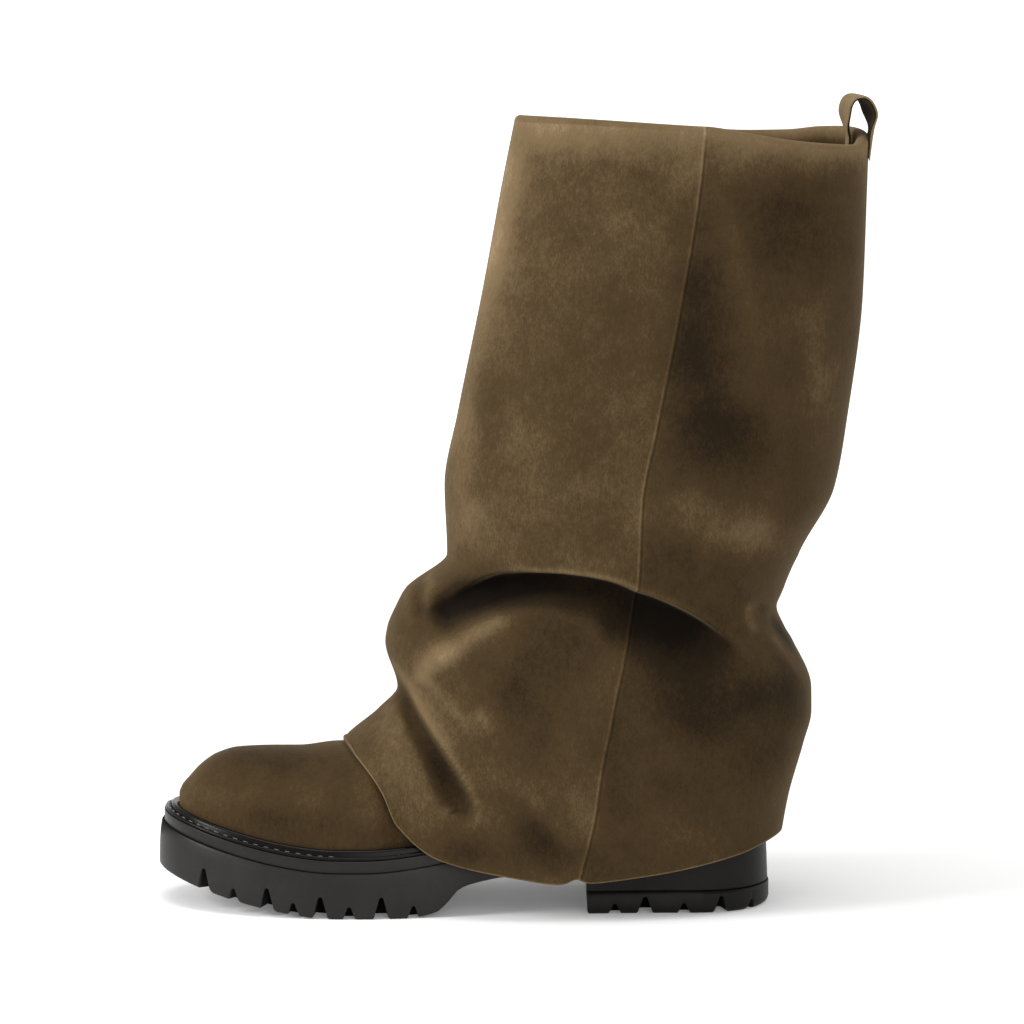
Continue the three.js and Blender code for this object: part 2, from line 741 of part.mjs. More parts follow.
function shaftSolid() {
  const outside = shaftWallLoops();
  const rim = outside.pop();
  const inside = offsetLoops([...outside, rim], -shaftWall);
  inside.pop();
  const turns = [0, 45, 90, 135, 180];
  const roll = (radius, angle) => {
    const reach = rollRadius - radius * Math.cos(angle * degrees);
    return drawIn(rim, reach, -radius * Math.sin(angle * degrees));
  };
  const over = turns.map((angle) => roll(rollRadius, angle));
  const facing = drawIn(levelLoop(facingHeight, columns), 2 * rollRadius, 0);
  const facingBack = drawIn(levelLoop(facingHeight, columns), 2 * rollRadius - shaftWall, 0);
  const under = [...turns].reverse().map((angle) => roll(rollRadius - shaftWall, angle));
  return closedLoft([...outside, ...over, facing, facingBack, ...under, ...inside.reverse()]);
}

// The pull loop: a strap that straddles the roll at the back of the collar. Above the roll its faces turn
// to the outer side, the outer strand more than the inner one.
function pullLoop() {
  const back = shaftPoint(180, 2);
  const insideX = back[0] - 2 * rollRadius - loopFit - loopThickness;
  const outsideX = back[0] + gap + loopThickness;
  const top = back[2] + rollRadius + loopRise;
  const foot = back[2] - loopInside;
  const heel = back[2] - loopOutside;
  const lean = back[0] - shaftPoint(180, facingHeight)[0];
  const shoulder = back[2] + loopShoulder;
  const shape = new THREE.Shape();
  const middle = (insideX + outsideX) / 2 - 1;
  const base = back[2] + 1;
  const innerTop = top - loopThickness;
  const inner = insideX + loopThickness;
  const outer = outsideX - loopThickness;
  shape.moveTo(inner - lean, foot);
  shape.lineTo(insideX - lean, foot);
  shape.lineTo(insideX, base);
  shape.bezierCurveTo(insideX - loopBow, shoulder, insideX - loopBow, top, middle, top);
  shape.bezierCurveTo(outsideX - 1, top, outsideX + loopBow, shoulder, outsideX, base);
  shape.lineTo(outsideX, heel);
  shape.lineTo(outer, heel);
  shape.lineTo(outer, base);
  shape.bezierCurveTo(outer + loopBow / 2, shoulder, outer - 1, innerTop, middle, innerTop);
  shape.bezierCurveTo(inner - loopBow, innerTop, inner - loopBow, shoulder, inner, base);
  const strips = 3;
  const settings = { depth: loopWidth, steps: strips, bevelEnabled: false, curveSegments: 7 };
  const geometry = new THREE.ExtrudeGeometry(shape, settings);
  geometry.deleteAttribute("normal");
  geometry.deleteAttribute("uv");
  const merged = mergeVertices(geometry, 1e-4);
  const at = merged.attributes.position;
  const points = [];
  for (let i = 0; i < at.count; i++) {
    const y = at.getZ(i) - loopWidth / 2;
    const share = (at.getX(i) - insideX) / (outsideX - insideX);
    const rise = smooth((at.getY(i) - back[2] - rollRadius) / loopShoulder);
    const turn = mix(loopTurnInside, loopTurnOutside, share) * rise * degrees;
    points.push([at.getX(i) - backCurve(y) - y * Math.tan(turn), y, at.getY(i)]);
  }
  const faces = [];
  const index = merged.index.array;
  for (let i = 0; i < index.length; i += 3) faces.push([index[i], index[i + 2], index[i + 1]]);
  return solidOf(points, faces);
}

// How far the collar's back has curved forward at a distance from its middle
function backCurve(y) {
  const half = read(shaft, "width", "height", 2) * ballWidth;
  const depth = placeX(read(shaft, "back", "height", 2)) - placeX(read(shaft, "seam", "height", 2));
  return depth * (1 - Math.pow(1 - Math.pow(Math.abs(y) / half, 2.2), 1 / 2.2));
}

// Materials
const suede = new THREE.MeshStandardMaterial({ color: 0x6a5637, roughness: 0.95, metalness: 0 });
const suedeInside = new THREE.MeshStandardMaterial({ color: 0x75603f, roughness: 0.95, metalness: 0 });
const rubber = new THREE.MeshStandardMaterial({ color: 0x1d1b19, roughness: 0.6, metalness: 0 });
const weltRubber = new THREE.MeshStandardMaterial({ color: 0x151413, roughness: 0.35, metalness: 0 });
const leather = new THREE.MeshStandardMaterial({ color: 0x8a7152, roughness: 0.7, metalness: 0 });

function meshOf(name, solid, material) {
  const made = solid.getMesh();
  const geometry = new THREE.BufferGeometry();
  const count = made.numProp;
  const positions = new Float32Array(made.numVert * 3);
  for (let i = 0; i < made.numVert; i++) {
    positions.set(made.vertProperties.subarray(i * count, i * count + 3), i * 3);
  }
  geometry.setAttribute("position", new THREE.BufferAttribute(positions, 3));
  geometry.setIndex(new THREE.BufferAttribute(new Uint32Array(made.triVerts), 1));
  geometry.computeVertexNormals();
  const mesh = new THREE.Mesh(geometry, material);
  mesh.name = name;
  return mesh;
}

const boot = new THREE.Group();
boot.add(
  meshOf("outsole", outsole(), rubber),
  meshOf("heel_block", heelBlock(), rubber),
  meshOf("heel_toplift", toplift(), rubber),
  meshOf("midsole", midsole(), rubber),
  meshOf("welt", welt(), weltRubber),
  meshOf("insole", insole(), leather),
  meshOf("upper", upper(), suedeInside),
  meshOf("shaft", shaftSolid(), suede),
  meshOf("pull_loop", pullLoop(), suede),
);

// The origin is on the ground, in the middle of the boot's own box
const box = new THREE.Box3().setFromObject(boot);
boot.position.set(-(box.min.x + box.max.x) / 2, -(box.min.y + box.max.y) / 2, -box.min.z);

export default boot;
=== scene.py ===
"""A pull-on slouch boot for the left foot, in brown suede on a lugged rubber sole.

Lengths are millimetres until a mesh is made. A place along the boot is its distance forward of the heel's
back, and a height is over the ground. The outer side of the foot faces -Y, towards the camera.
"""

import math

import bmesh
import bpy
import numpy as np
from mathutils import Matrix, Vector
from mathutils.bvhtree import BVHTree


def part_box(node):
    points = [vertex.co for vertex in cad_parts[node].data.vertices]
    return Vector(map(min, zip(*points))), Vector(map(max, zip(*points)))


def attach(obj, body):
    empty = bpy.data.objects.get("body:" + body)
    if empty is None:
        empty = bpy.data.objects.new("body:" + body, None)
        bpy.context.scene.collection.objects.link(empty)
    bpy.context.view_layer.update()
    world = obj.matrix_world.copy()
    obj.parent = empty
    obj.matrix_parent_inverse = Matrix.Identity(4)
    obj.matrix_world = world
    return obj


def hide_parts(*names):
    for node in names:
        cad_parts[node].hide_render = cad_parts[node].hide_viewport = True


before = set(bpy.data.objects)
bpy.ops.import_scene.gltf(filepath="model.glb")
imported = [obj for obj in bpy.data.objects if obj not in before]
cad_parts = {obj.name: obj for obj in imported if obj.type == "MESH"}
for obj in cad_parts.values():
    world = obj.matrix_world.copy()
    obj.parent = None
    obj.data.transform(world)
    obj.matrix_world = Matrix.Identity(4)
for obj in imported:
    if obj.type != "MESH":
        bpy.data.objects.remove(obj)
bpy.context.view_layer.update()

MM = 0.001
HEEL_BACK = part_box("outsole")[1].x / MM
SOLE_LENGTH = (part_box("outsole")[1].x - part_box("outsole")[0].x) / MM

# Sizes of the sole
BALL_WIDTH = 106
OUTSOLE = 21.5
MIDSOLE = 5.5
MIDSOLE_STEP = 2.5
HEEL_RISE = 18.7
TOE_SPRING = 17.4
HEEL_SEAT = 6
TOPLIFT = 10.5
FRONT_ROUND = 2.6
TOE_SWING = 5
GAP = 0.3
PLATFORM = OUTSOLE + GAP + MIDSOLE
WELT_SHELF = 7
WELT_THICKNESS = 1.6
BEAD_WIDTH = 3.6
BEAD_HEIGHT = 4.4
SHELF_INSET = MIDSOLE_STEP + WELT_SHELF
WELT_RIM = MIDSOLE_STEP + 0.6
STITCH_PITCH = 5.3
STITCH_LENGTH = 3.4
STITCH_PLACE = 0.62
STITCH_SINK = 0.3
WELT_THREAD = 1.1
STITCHED_FROM = 0.715

# Sizes of the upper and the shaft
TOE_BOX = 48
NECK = 139.7
COLLAR = 348.7
COLLAR_DROP = 16
UPPER_WALL = 2
SHAFT_WALL = 1.8
FACING = 14


def rows_of(keys, table):
    return [dict(zip(keys, row)) for row in table]


# Half widths of the tread, as shares of the ball width, before its ends are rounded
TREAD = rows_of(("along", "outer", "inner"), [
    (0.0, 0.355, 0.355),
    (0.15, 0.358, 0.35),
    (0.3, 0.378, 0.312),
    (0.43, 0.41, 0.302),
    (0.55, 0.455, 0.372),
    (0.66, 0.498, 0.47),
    (0.75, 0.505, 0.495),
    (0.85, 0.505, 0.5),
    (1.0, 0.505, 0.5),
])
HEEL_END = {"share": 0.125, "power": 2.25}
TOE_END = {"share": 0.68, "power": 2.25}

# The underside of the outsole behind the ball, as shares of its thickness
BREAST = rows_of(("along", "rise"), [
    (0.58, 0),
    (0.543, 0.12),
    (0.522, 0.38),
    (0.51, 0.58),
    (0.495, 0.69),
    (0.445, 0.85),
])
HEEL_FRONT = 0.299
SPRING_SHARE = 0.713
RISE_SHARES = (0.662, 0.234)

# Notches of the tread's edge: height, depth inward, breadth at the ground, breadth at the top
LARGE_NOTCH = {"height": 10.5, "inset": 15, "breadth": 6, "crest": 2.4}
SMALL_NOTCH = {"height": 6, "inset": 9, "breadth": 4.6, "crest": 2.2}
LARGE_LIFT_NOTCH = {**LARGE_NOTCH, "height": 8.2}
SMALL_LIFT_NOTCH = {**SMALL_NOTCH, "height": 5}
TREAD_NOTCHES = {"large": [0.922, 0.818, 0.731, 0.632], "small": [0.873, 0.775, 0.684, 0.58]}
LIFT_NOTCHES = {"large": [0.205, 0.081], "small": [0.254, 0.142, 0.031]}

# Sections of the vamp: the height of its crest over the sole, in toe box heights
VAMP = rows_of(("along", "crest"), [
    (0.9665, 0.203),
    (0.962, 0.275),
    (0.951, 0.372),
    (0.932, 0.53),
    (0.905, 0.685),
    (0.87, 0.798),
    (0.82, 0.876),
    (0.768, 0.929),
    (0.715, 0.999),
    (0.68, 1.013),
    (0.65, 1.133),
])

# Sections of the instep, heel and leg, from a front point to a back point
LEG = rows_of(("front", "top", "back", "foot", "width", "widest", "crown", "base"), [
    (0.621, 0.466, 0.5935, None, 0.37, 0.3, 1.9, 6),
    (0.58, 0.555, 0.491, None, 0.34, 0.27, 1.8, 5),
    (0.539, 0.64, 0.371, None, 0.318, 0.27, 1.8, 4.5),
    (0.504, 0.722, 0.244, None, 0.305, 0.3, 1.85, 4),
    (0.4805, 0.795, 0.121, None, 0.3, 0.34, 1.95, 3),
    (0.4685, 0.86, 0.028, -0.097, 0.298, 0.4, 2, 2.4),
    (0.463, 0.92, 0.01, 0.033, 0.3, 0.44, 2.1, 2.2),
    (0.463, 0.985, 0.008, 0.215, 0.305, 0.48, 2.1, 2.1),
    (0.463, 1.033, 0.0216, 0.405, 0.312, 0.5, 2.1, 2.1),
    (0.463, 1.081, 0.0387, 0.595, 0.328, 0.5, 2.1, 2.1),
    (0.463, 1.139, 0.0455, 0.801, 0.35, 0.5, 2.15, 2.1),
    (0.4617, 1.22, 0.032, 1.038, 0.378, 0.5, 2.2, 2.15),
    (0.453, 1.38, -0.023, 1.2775, 0.41, 0.5, 2.2, 2.2),
    (0.4394, 1.6, -0.088, 1.56, 0.44, 0.49, 2.2, 2.2),
])

# Level sections of the shaft's outside: its front, seam and back, and its half width
SHAFT_KEYS = ("height", "front", "seam", "back", "width", "nose")
SHAFT = rows_of(SHAFT_KEYS, [
    (2.0, 0.4175, 0.114, -0.155, 0.49, 2.2),
    (1.861, 0.4366, 0.1235, -0.1525, 0.51, 2.2),
    (1.608, 0.469, 0.152, -0.147, 0.55, 2.2),
    (1.321, 0.51, 0.191, -0.1235, 0.585, 2.2),
    (1.158, 0.531, 0.2135, -0.1035, 0.61, 2.2),
    (1.0, 0.527, 0.2185, -0.045, 0.625, 2.1),
    (0.878, 0.595, 0.227, -0.02, 0.6, 2.0),
    (0.823, 0.6097, 0.2314, -0.0105, 0.605, 2.0),
    (0.745, 0.625, 0.2383, -0.0245, 0.6196, 2.0),
    (0.699, 0.628, 0.2425, -0.0375, 0.625, 2.0),
    (0.542, 0.6085, 0.258, -0.068, 0.63, 1.9),
    (0.463, 0.64, 0.2645, -0.0685, 0.625, 1.85),
    (0.358, 0.697, 0.275, -0.0565, 0.61, 1.85),
    (0.1625, 0.737, 0.2885, -0.031, 0.595, 1.95),
    (-0.08, 0.75, 0.316, -0.012, 0.57, 2.1),
])

# The cut hem seen from the side
HEM = rows_of(("along", "height"), [
    (0.72, 0.362),
    (0.6965, 0.357),
    (0.671, 0.295),
    (0.63, 0.208),
    (0.606, 0.112),
    (0.5405, 0.009),
    (0.41, -0.048),
    (0.345, -0.066),
    (0.2, -0.038),
    (0.0526, 0.014),
    (-0.0196, 0.055),
    (-0.08, 0.07),
])

HEM_TUCK = {"along": 0.318, "rise": 2.4, "width": 0.014}

# How far the collar's rim dips, as shares of its drop: it sags at the back of the outer side
RIM = rows_of(("angle", "outer", "inner"), [
    (0, 0.2, 0.2),
    (45, 0.125, 0.456),
    (90, 0.306, 0.8),
    (103, 0.506, 0.875),
    (120, 0.738, 0.838),
    (137, 0.875, 0.7),
    (158, 0.97, 0.638),
    (170, 0.825, 0.662),
    (180, 0.69, 0.69),
])

# The lip of the ankle fold, by the angle round the shaft
LIP = rows_of(("angle", "height"), [
    (0, 0.72),
    (30, 0.78),
    (45, 0.88),
    (58, 0.985),
    (72, 1.0),
    (88, 0.94),
    (105, 0.843),
    (125, 0.755),
    (150, 0.72),
    (180, 0.72),
])

# The main creases of the outer side, as (forward, up) points on the line and their own sizes.
# The suede on a lip's left hand stands proud and folds over the suede on its right hand: drop is how deep
# that side falls, reach how far it stays down, and hold the share of the reach that stays deepest. light
# is a painted highlight along the proud edge, and dark the painted shade in the hollow under it.
LIPS = {
    "arch": {
        "line": [(152, 152), (144.6, 157.5), (134.9, 163), (125.3, 165.9), (113.9, 166.9), (102.5, 167.2),
                 (91, 166.5), (79.6, 164.8), (71.1, 162.3), (64.6, 159.2), (56.8, 156.8), (43.9, 151),
                 (33.9, 145.3), (25.2, 138.7), (18.8, 133.7), (9.4, 123)],
        "shares": (0, 0.12, 0.22, 0.32, 0.45, 0.62, 0.78, 1),
        "drop": (0, 6, 13, 14, 13, 12, 8, 0),
        "reach": (18, 22, 22, 20, 23, 36, 40, 26),
        "hold": (0.5, 0.5, 0.45, 0.35, 0.2, 0.14, 0.1, 0.1),
        "rise": 2.4,
        "roll": 12,
        "tuck": 0.9,
        "edge": 3.6,
        "dark": 0.74,
        "light": 0.22,
    },
    "pleat": {
        "line": [(179, 115.5), (173.5, 107.2), (165.6, 95.7), (158.4, 85.7), (151.2, 75.5), (145.5, 66.6),
                 (142, 60.2), (140, 54.4), (140.4, 48.5), (144.5, 43.5)],
        "shares": (0, 0.2, 0.5, 0.75, 0.92, 1),
        "drop": (3, 6.5, 8, 7, 4, 0),
        "reach": (11, 12, 14, 19, 17, 12),
        "hold": (0.25, 0.25, 0.25, 0.3, 0.3, 0.2),
        "rise": 2,
        "roll": 9,
        "tuck": 0.8,
        "edge": 4,
        "dark": 0.36,
        "light": 0.22,
    },
    "crease": {
        "line": [(123, 69.5), (114.1, 60), (102.3, 46.9), (93, 37.5)],
        "shares": (0, 0.3, 0.7, 1),
        "drop": (0, 2, 2.2, 0),
        "reach": (16, 22, 22, 16),
        "hold": (0.2, 0.25, 0.25, 0.2),
        "rise": 0.9,
        "roll": 9,
        "tuck": 0,
        "edge": 6,
        "dark": 0.14,
        "light": 0.07,
    },
    "heel": {
        "line": [(-17.6, 104), (-14.8, 113), (-9.4, 121.5), (-3.2, 129.4), (1.6, 136), (3, 143)],
        "shares": (0, 0.3, 0.7, 1),
        "drop": (0, 5.5, 5, 0),
        "reach": (12, 16, 14, 10),
        "hold": (0.5, 0.6, 0.6, 0.5),
        "rise": 1.4,
        "roll": 6,
        "tuck": 0,
        "edge": 2.6,
        "dark": 0.6,
        "light": 0.22,
    },
}

# Soft ridges (a positive amount) and troughs (a negative one), each with its own change of tone: mostly
# painted light on the ridges and painted shade in the troughs
RIDGES = rows_of(("amount", "width", "tone", "line"), [
    (3.2, 5.5, 0.34, [(170, 117), (160, 122), (150.5, 128), (140, 137), (128, 144), (114, 151)]),
    (0.4, 5, 0.16, [(159, 122), (148, 129)]),
    (-6.5, 8, -0.85, [(164, 137), (158, 141.5), (150, 147.5), (134.5, 155), (118, 160)]),
    (2.4, 3.2, 0.16, [(172.5, 161), (173, 149), (170.5, 134)]),
    (-3, 3.2, -0.16, [(167.5, 160), (167.5, 148), (165.5, 138)]),
    (2.2, 3, 0.2, [(162, 161), (162, 152), (160, 143)]),
    (1.5, 2.6, 0.25, [(9, 152), (12.4, 146), (10.8, 140), (6, 135)]),
    (-1.6, 4, -0.1, [(4, 148), (7, 144)]),
    (-3.4, 11, -0.1, [(53.6, 107), (34.8, 93.7), (16, 87.5), (-9, 86.5)]),
    (1.8, 8, 0.04, [(70, 112), (51.3, 91), (34.9, 76), (20, 66)]),
    (1.2, 4, 0.18, [(181, 118), (168, 104), (155, 88), (148, 76)]),
    (1.3, 3.5, 0.16, [(169, 119), (158, 107), (146, 95), (137, 87)]),
    (1.3, 4, 0.2, [(159, 122), (165, 114), (168, 108)]),
    (-0.6, 4, -0.36, [(-3.6, 141), (-6, 133.5), (-9.2, 127), (-12.6, 121)]),
    (0.5, 2.4, 0.12, [(0.6, 136), (-2.6, 130), (-6.8, 124), (-11.4, 118)]),
    (1, 4.5, 0.18, [(141, 103), (134, 93), (132, 88)]),
    (-1.4, 11, -0.12, [(128, 118), (116, 96), (100, 80)]),
    (-1, 9, -0.08, [(84, 98), (74, 70), (70, 40)]),
    (0.6, 4, 0.02, [(122, 68), (111, 57), (98, 43)]),
    (-1, 12, -0.14, [(116, 56), (106, 38), (92, 22)]),
    (0.9, 8, 0.0675, [(58, 60), (44, 44), (20, 34)]),
    (1.4, 8, 0.08, [(179, 94), (174, 78), (166, 62), (156, 47)]),
    (0.4, 10, 0.48, [(122, 372), (128, 346), (133, 320), (137, 290)]),
    (0.6, 9, 0.2, [(133, 320), (141, 280), (148, 236), (146, 190)]),
    (0.8, 7, 0.1, [(121, 256), (118, 232), (114, 206)]),
    (-0.6, 5, 0, [(138, 330), (146, 262), (156, 192)]),
    (1.1, 18, 0, [(96, 350), (100, 270), (98, 190)]),
    (1.2, 7, 0.12, [(24, 356), (20, 330), (10, 290), (2, 260)]),
    (-1.4, 12, -0.13, [(42, 320), (36, 290), (30, 255), (18, 222)]),
    (0.8, 10, 0.14, [(-10, 300), (-22, 262), (-24, 226)]),
    (1.4, 12, 0.24, [(52, 206), (20, 189), (-8, 186)]),
    (1.2, 9, -0.04, [(130, 178), (100, 187), (62, 178)]),
])

# Lighter and darker places of the shaft, partly the nap's own uneven colour, partly painted shade in and
# under the folds and painted light: the middle, the reach forward and up, and the change of tone
PATCHES = rows_of(("forward", "up", "wide", "high", "tone"), [
    (91, 371, 30, 9, 0.26),
    (5, 358, 28, 10, 0.08),
    (-2, 330, 20, 20, -0.12),
    (90, 262, 26, 40, -0.06),
    (38, 285, 16, 50, -0.14),
    (25, 228, 24, 22, -0.15),
    (6, 181, 20, 9, 0.14),
    (136, 240, 10, 30, -0.08),
    (143, 187, 14, 16, 0.14),
    (116, 122, 26, 9, -0.16),
    (108, 110, 30, 18, -0.16),
    (93, 138, 34, 14, -0.22),
    (104, 78, 24, 12, -0.08),
    (14, 104, 34, 12, -0.28),
    (45, 138, 24, 12, -0.2),
    (42, 120, 28, 11, -0.2),
    (-14, 103, 11, 20, -0.12),
    (10, 72, 34, 12, -0.08),
    (144, 34, 34, 9, -0.22),
    (96, 30, 24, 9, -0.12),
    (174, 145, 6, 12, -0.1),
    (183, 78, 10, 22, 0.06),
])

# Lighter and darker places of the upper's toe, in the same columns
TOE_PATCHES = rows_of(("forward", "up", "wide", "high", "tone"), [
    (256, 61, 16, 8, -0.12),
    (242, 74, 40, 9, -0.38),
    (205, 80, 14, 4, 0.12),
    (222, 44, 48, 9, -0.24),
    (190, 47, 9, 7, 0.16),
    (215, 62, 30, 8, -0.08),
])

# The far side's creases are the same ones, a little weaker and shifted forward
FAR_SHARE = 0.85
FAR_SHIFT = 7


def smooth(t):
    s = np.clip(t, 0, 1)
    return s * s * (3 - 2 * s)


def mix(a, b, t):
    return a + (b - a) * t


def hill(distance, width):
    """1 at no distance, falling off softly over a width."""
    return np.exp(-((distance / width) ** 2))


def spline(at, values, where):
    """A smooth curve through values at increasing places, without overshoot."""
    values = np.asarray(values, float)
    wide = (slice(None),) + (None,) * (values.ndim - 1)
    step = np.diff(at)[wide]
    chord = np.diff(values, axis=0) / step
    before, after = chord[:-1], chord[1:]
    product = before * after
    total = np.where(product > 0, before + after, 1)
    middle = np.where(product > 0, 2 * product / total, 0)
    slope = np.concatenate([chord[:1], middle, chord[-1:]])
    v = np.clip(np.asarray(where, float), at[0], at[-1])
    i = np.clip(np.searchsorted(at, v, side="right") - 1, 0, len(at) - 2)
    shape = v.shape + (1,) * (values.ndim - 1)
    span = (at[i + 1] - at[i]).reshape(shape)
    t = (v - at[i]).reshape(shape) / span
    t2, t3 = t * t, t * t * t
    near = (2 * t3 - 3 * t2 + 1) * values[i] + (t3 - 2 * t2 + t) * span * slope[i]
    return near + (3 * t2 - 2 * t3) * values[i + 1] + (t3 - t2) * span * slope[i + 1]


class Column:
    """A smooth curve through one column of a table, read at values of another column."""

    def __init__(self, table, at, key):
        rows = sorted(table, key=lambda row: row[at])
        self.x = np.array([row[at] for row in rows], float)
        self.y = np.array([row[key] for row in rows], float)

    def __call__(self, value):
        return spline(self.x, self.y, value)


tread_outer = Column(TREAD, "along", "outer")
tread_inner = Column(TREAD, "along", "inner")
breast_rise = Column(BREAST, "along", "rise")
hem_height = Column(HEM, "along", "height")
lip_height = Column(LIP, "angle", "height")
rim_dip = {side: Column(RIM, "angle", side) for side in ("outer", "inner")}
shaft_at = {key: Column(SHAFT, "height", key) for key in SHAFT_KEYS[1:]}


SPRING_POWER = 1.6
TOE_SWING_FROM = 0.6
SHAFT_BACK_POWER = 2.2


def place_x(along):
    return -np.asarray(along) * SOLE_LENGTH


def place_z(height):
    h = np.asarray(height, float)
    neck = PLATFORM + NECK
    return np.where(h <= 1, PLATFORM + h * NECK, neck + (h - 1) * (COLLAR - NECK))


def sole_top(x):
    along = -np.asarray(x) / SOLE_LENGTH
    spring = np.maximum(0, (along - SPRING_SHARE) / (1 - SPRING_SHARE)) ** SPRING_POWER
    rise = smooth((RISE_SHARES[0] - along) / (RISE_SHARES[0] - RISE_SHARES[1]))
    return PLATFORM + TOE_SPRING * spring + HEEL_RISE * rise


def outsole_top(x):
    return sole_top(x) - MIDSOLE - GAP


def outsole_under(x):
    along = -np.asarray(x, float) / SOLE_LENGTH
    spring = np.where(along > SPRING_SHARE, sole_top(x) - PLATFORM, 0)
    seat = outsole_top(x) - HEEL_SEAT
    front = OUTSOLE * breast_rise(along)
    last = BREAST[-1]["along"]
    back = mix(front, seat, smooth((last - along) / (last - HEEL_FRONT)))
    return np.where(along >= BREAST[0]["along"], spring, back)


def footprint(along, inset):
    """The tread's outer and inner edge at a share of the length, drawn in on all sides by an inset."""
    place = np.clip(0.5 + (along - 0.5) / (1 - 2 * inset / SOLE_LENGTH), 0, 1)
    toe = np.maximum(0, (place - TOE_END["share"]) / (1 - TOE_END["share"]))
    heel = np.maximum(0, (HEEL_END["share"] - place) / HEEL_END["share"])
    toe_round = (1 - toe ** TOE_END["power"]) ** (1 / TOE_END["power"])
    heel_round = (1 - heel ** HEEL_END["power"]) ** (1 / HEEL_END["power"])
    reach = (BALL_WIDTH - 2 * inset) * toe_round * heel_round
    swing = TOE_SWING * smooth((place - TOE_SWING_FROM) / (1 - TOE_SWING_FROM))
    return swing - reach * tread_outer(place), swing + reach * tread_inner(place)


def inset_x(share, inset):
    return place_x(0.5 + (share - 0.5) * (1 - 2 * inset / SOLE_LENGTH))


# Meshes
def make_mesh(name, points, faces, material=None, sharp=None):
    """A Blender object from points in millimetres and faces, shaded smooth."""
    world = (np.asarray(points, float).reshape(-1, 3) + (HEEL_BACK, 0, 0)) * MM
    mesh = bpy.data.meshes.new(name)
    mesh.from_pydata(world.tolist(), [], [tuple(f) for f in faces])
    mesh.validate()
    mesh.polygons.foreach_set("use_smooth", [True] * len(mesh.polygons))
    if sharp is not None:
        mesh.set_sharp_from_angle(angle=math.radians(sharp))
    obj = bpy.data.objects.new(name, mesh)
    bpy.context.scene.collection.objects.link(obj)
    if material is not None:
        mesh.materials.append(material)
    return obj


def tube_faces(rings, around, closed=False):
    """Quads between rings of points, and back to the first ring when closed."""
    faces = []
    last = rings if closed else rings - 1
    for i in range(last):
        a0, b0 = i * around, ((i + 1) % rings) * around
        for j in range(around):
            k = (j + 1) % around
            faces.append((a0 + j, a0 + k, b0 + k, b0 + j))
    return faces


def fix_normals(obj):
    bm = bmesh.new()
    bm.from_mesh(obj.data)
    bmesh.ops.remove_doubles(bm, verts=bm.verts, dist=1e-6)
    bmesh.ops.recalc_face_normals(bm, faces=bm.faces)
    bm.to_mesh(obj.data)
    bm.free()


def applied(obj):
    """Bakes an object's modifiers into its mesh."""
    graph = bpy.context.evaluated_depsgraph_get()
    mesh = bpy.data.meshes.new_from_object(obj.evaluated_get(graph))
    obj.modifiers.clear()
    obj.data = mesh
    return obj


def set_attribute(obj, name, values):
    attribute = obj.data.attributes.new(name, "FLOAT", "POINT")
    attribute.data.foreach_set("value", np.asarray(values, np.float32).ravel())


def finish_piece(obj, slot, *nodes):
    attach(obj, "root")
    if nodes:
        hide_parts(*nodes)
    return obj


# Sole
def stations(low, high, count):
    t = np.linspace(0, 1, count + 1)
    return mix(low, high, mix(t, 0.5 - 0.5 * np.cos(np.pi * t), 0.85))


def layer_points(shares, rings):
    """Rings round the sole, each with its own inset and height."""
    loops = []
    for inset, height in rings:
        x = inset_x(shares, inset)
        outer, inner = footprint(-x / SOLE_LENGTH, inset)
        z = height(x)
        near = np.stack([x, outer, z], 1)
        far = np.stack([x, inner, z], 1)[::-1]
        loops.append(np.concatenate([near, far]))
    return np.array(loops)


def layer(name, shares, rings, material):
    """A closed layer of the sole."""
    loops = layer_points(shares, rings)
    count, around = loops.shape[:2]
    faces = tube_faces(count, around)
    top = (count - 1) * around
    for j in range(around // 2 - 1):
        a, b, c, d = j, j + 1, around - 2 - j, around - 1 - j
        faces.append((a, d, c, b))
        faces.append((top + a, top + b, top + c, top + d))
    obj = make_mesh(name, loops, faces, material)
    fix_normals(obj)
    return obj


# A notch widens towards the tread's underside. Its flare is a share of its breadth at its foot.
NOTCH_MOUTH = {"flare": 2.1, "up": -2.5}
NOTCH_FOOT = {"flare": 1.15, "up": 0.9}
NOTCH_OUTSIDE = 4


def notch_cutter(along, side, size, lift):
    """A tapered wedge with a round crest, square to the tread's edge."""
    step = 0.004
    which = 0 if side == "outer" else 1

    def edge(share):
        return np.array([place_x(share), footprint(share, 0)[which]])

    run = edge(along + step) - edge(along - step)
    run /= np.linalg.norm(run)
    inward = np.array([run[1], -run[0]])
    if inward[1] * (1 if side == "outer" else -1) < 0:
        inward = -inward
    foot, head = size["breadth"] / 2, size["crest"] / 2
    roof = size["height"] - head
    left = [(-foot * part["flare"], part["up"]) for part in (NOTCH_MOUTH, NOTCH_FOOT)]
    left.append((-head, roof))
    profile = list(left)
    for turn in np.linspace(math.pi, 0, 7)[1:-1]:
        profile.append((head * math.cos(turn), roof + head * math.sin(turn)))
    profile += [(-across, up) for across, up in left[::-1]]
    rim = edge(along)
    points = []
    for depth in (-NOTCH_OUTSIDE, size["inset"]):
        for across, up in profile:
            spot = rim + run * across + inward * depth
            points.append((spot[0], spot[1], lift + up))
    n = len(profile)
    faces = [(j, (j + 1) % n, n + (j + 1) % n, n + j) for j in range(n)]
    faces += [tuple(range(n)), tuple(range(2 * n - 1, n - 1, -1))]
    obj = make_mesh("cutter", points, faces)
    fix_normals(obj)
    return obj


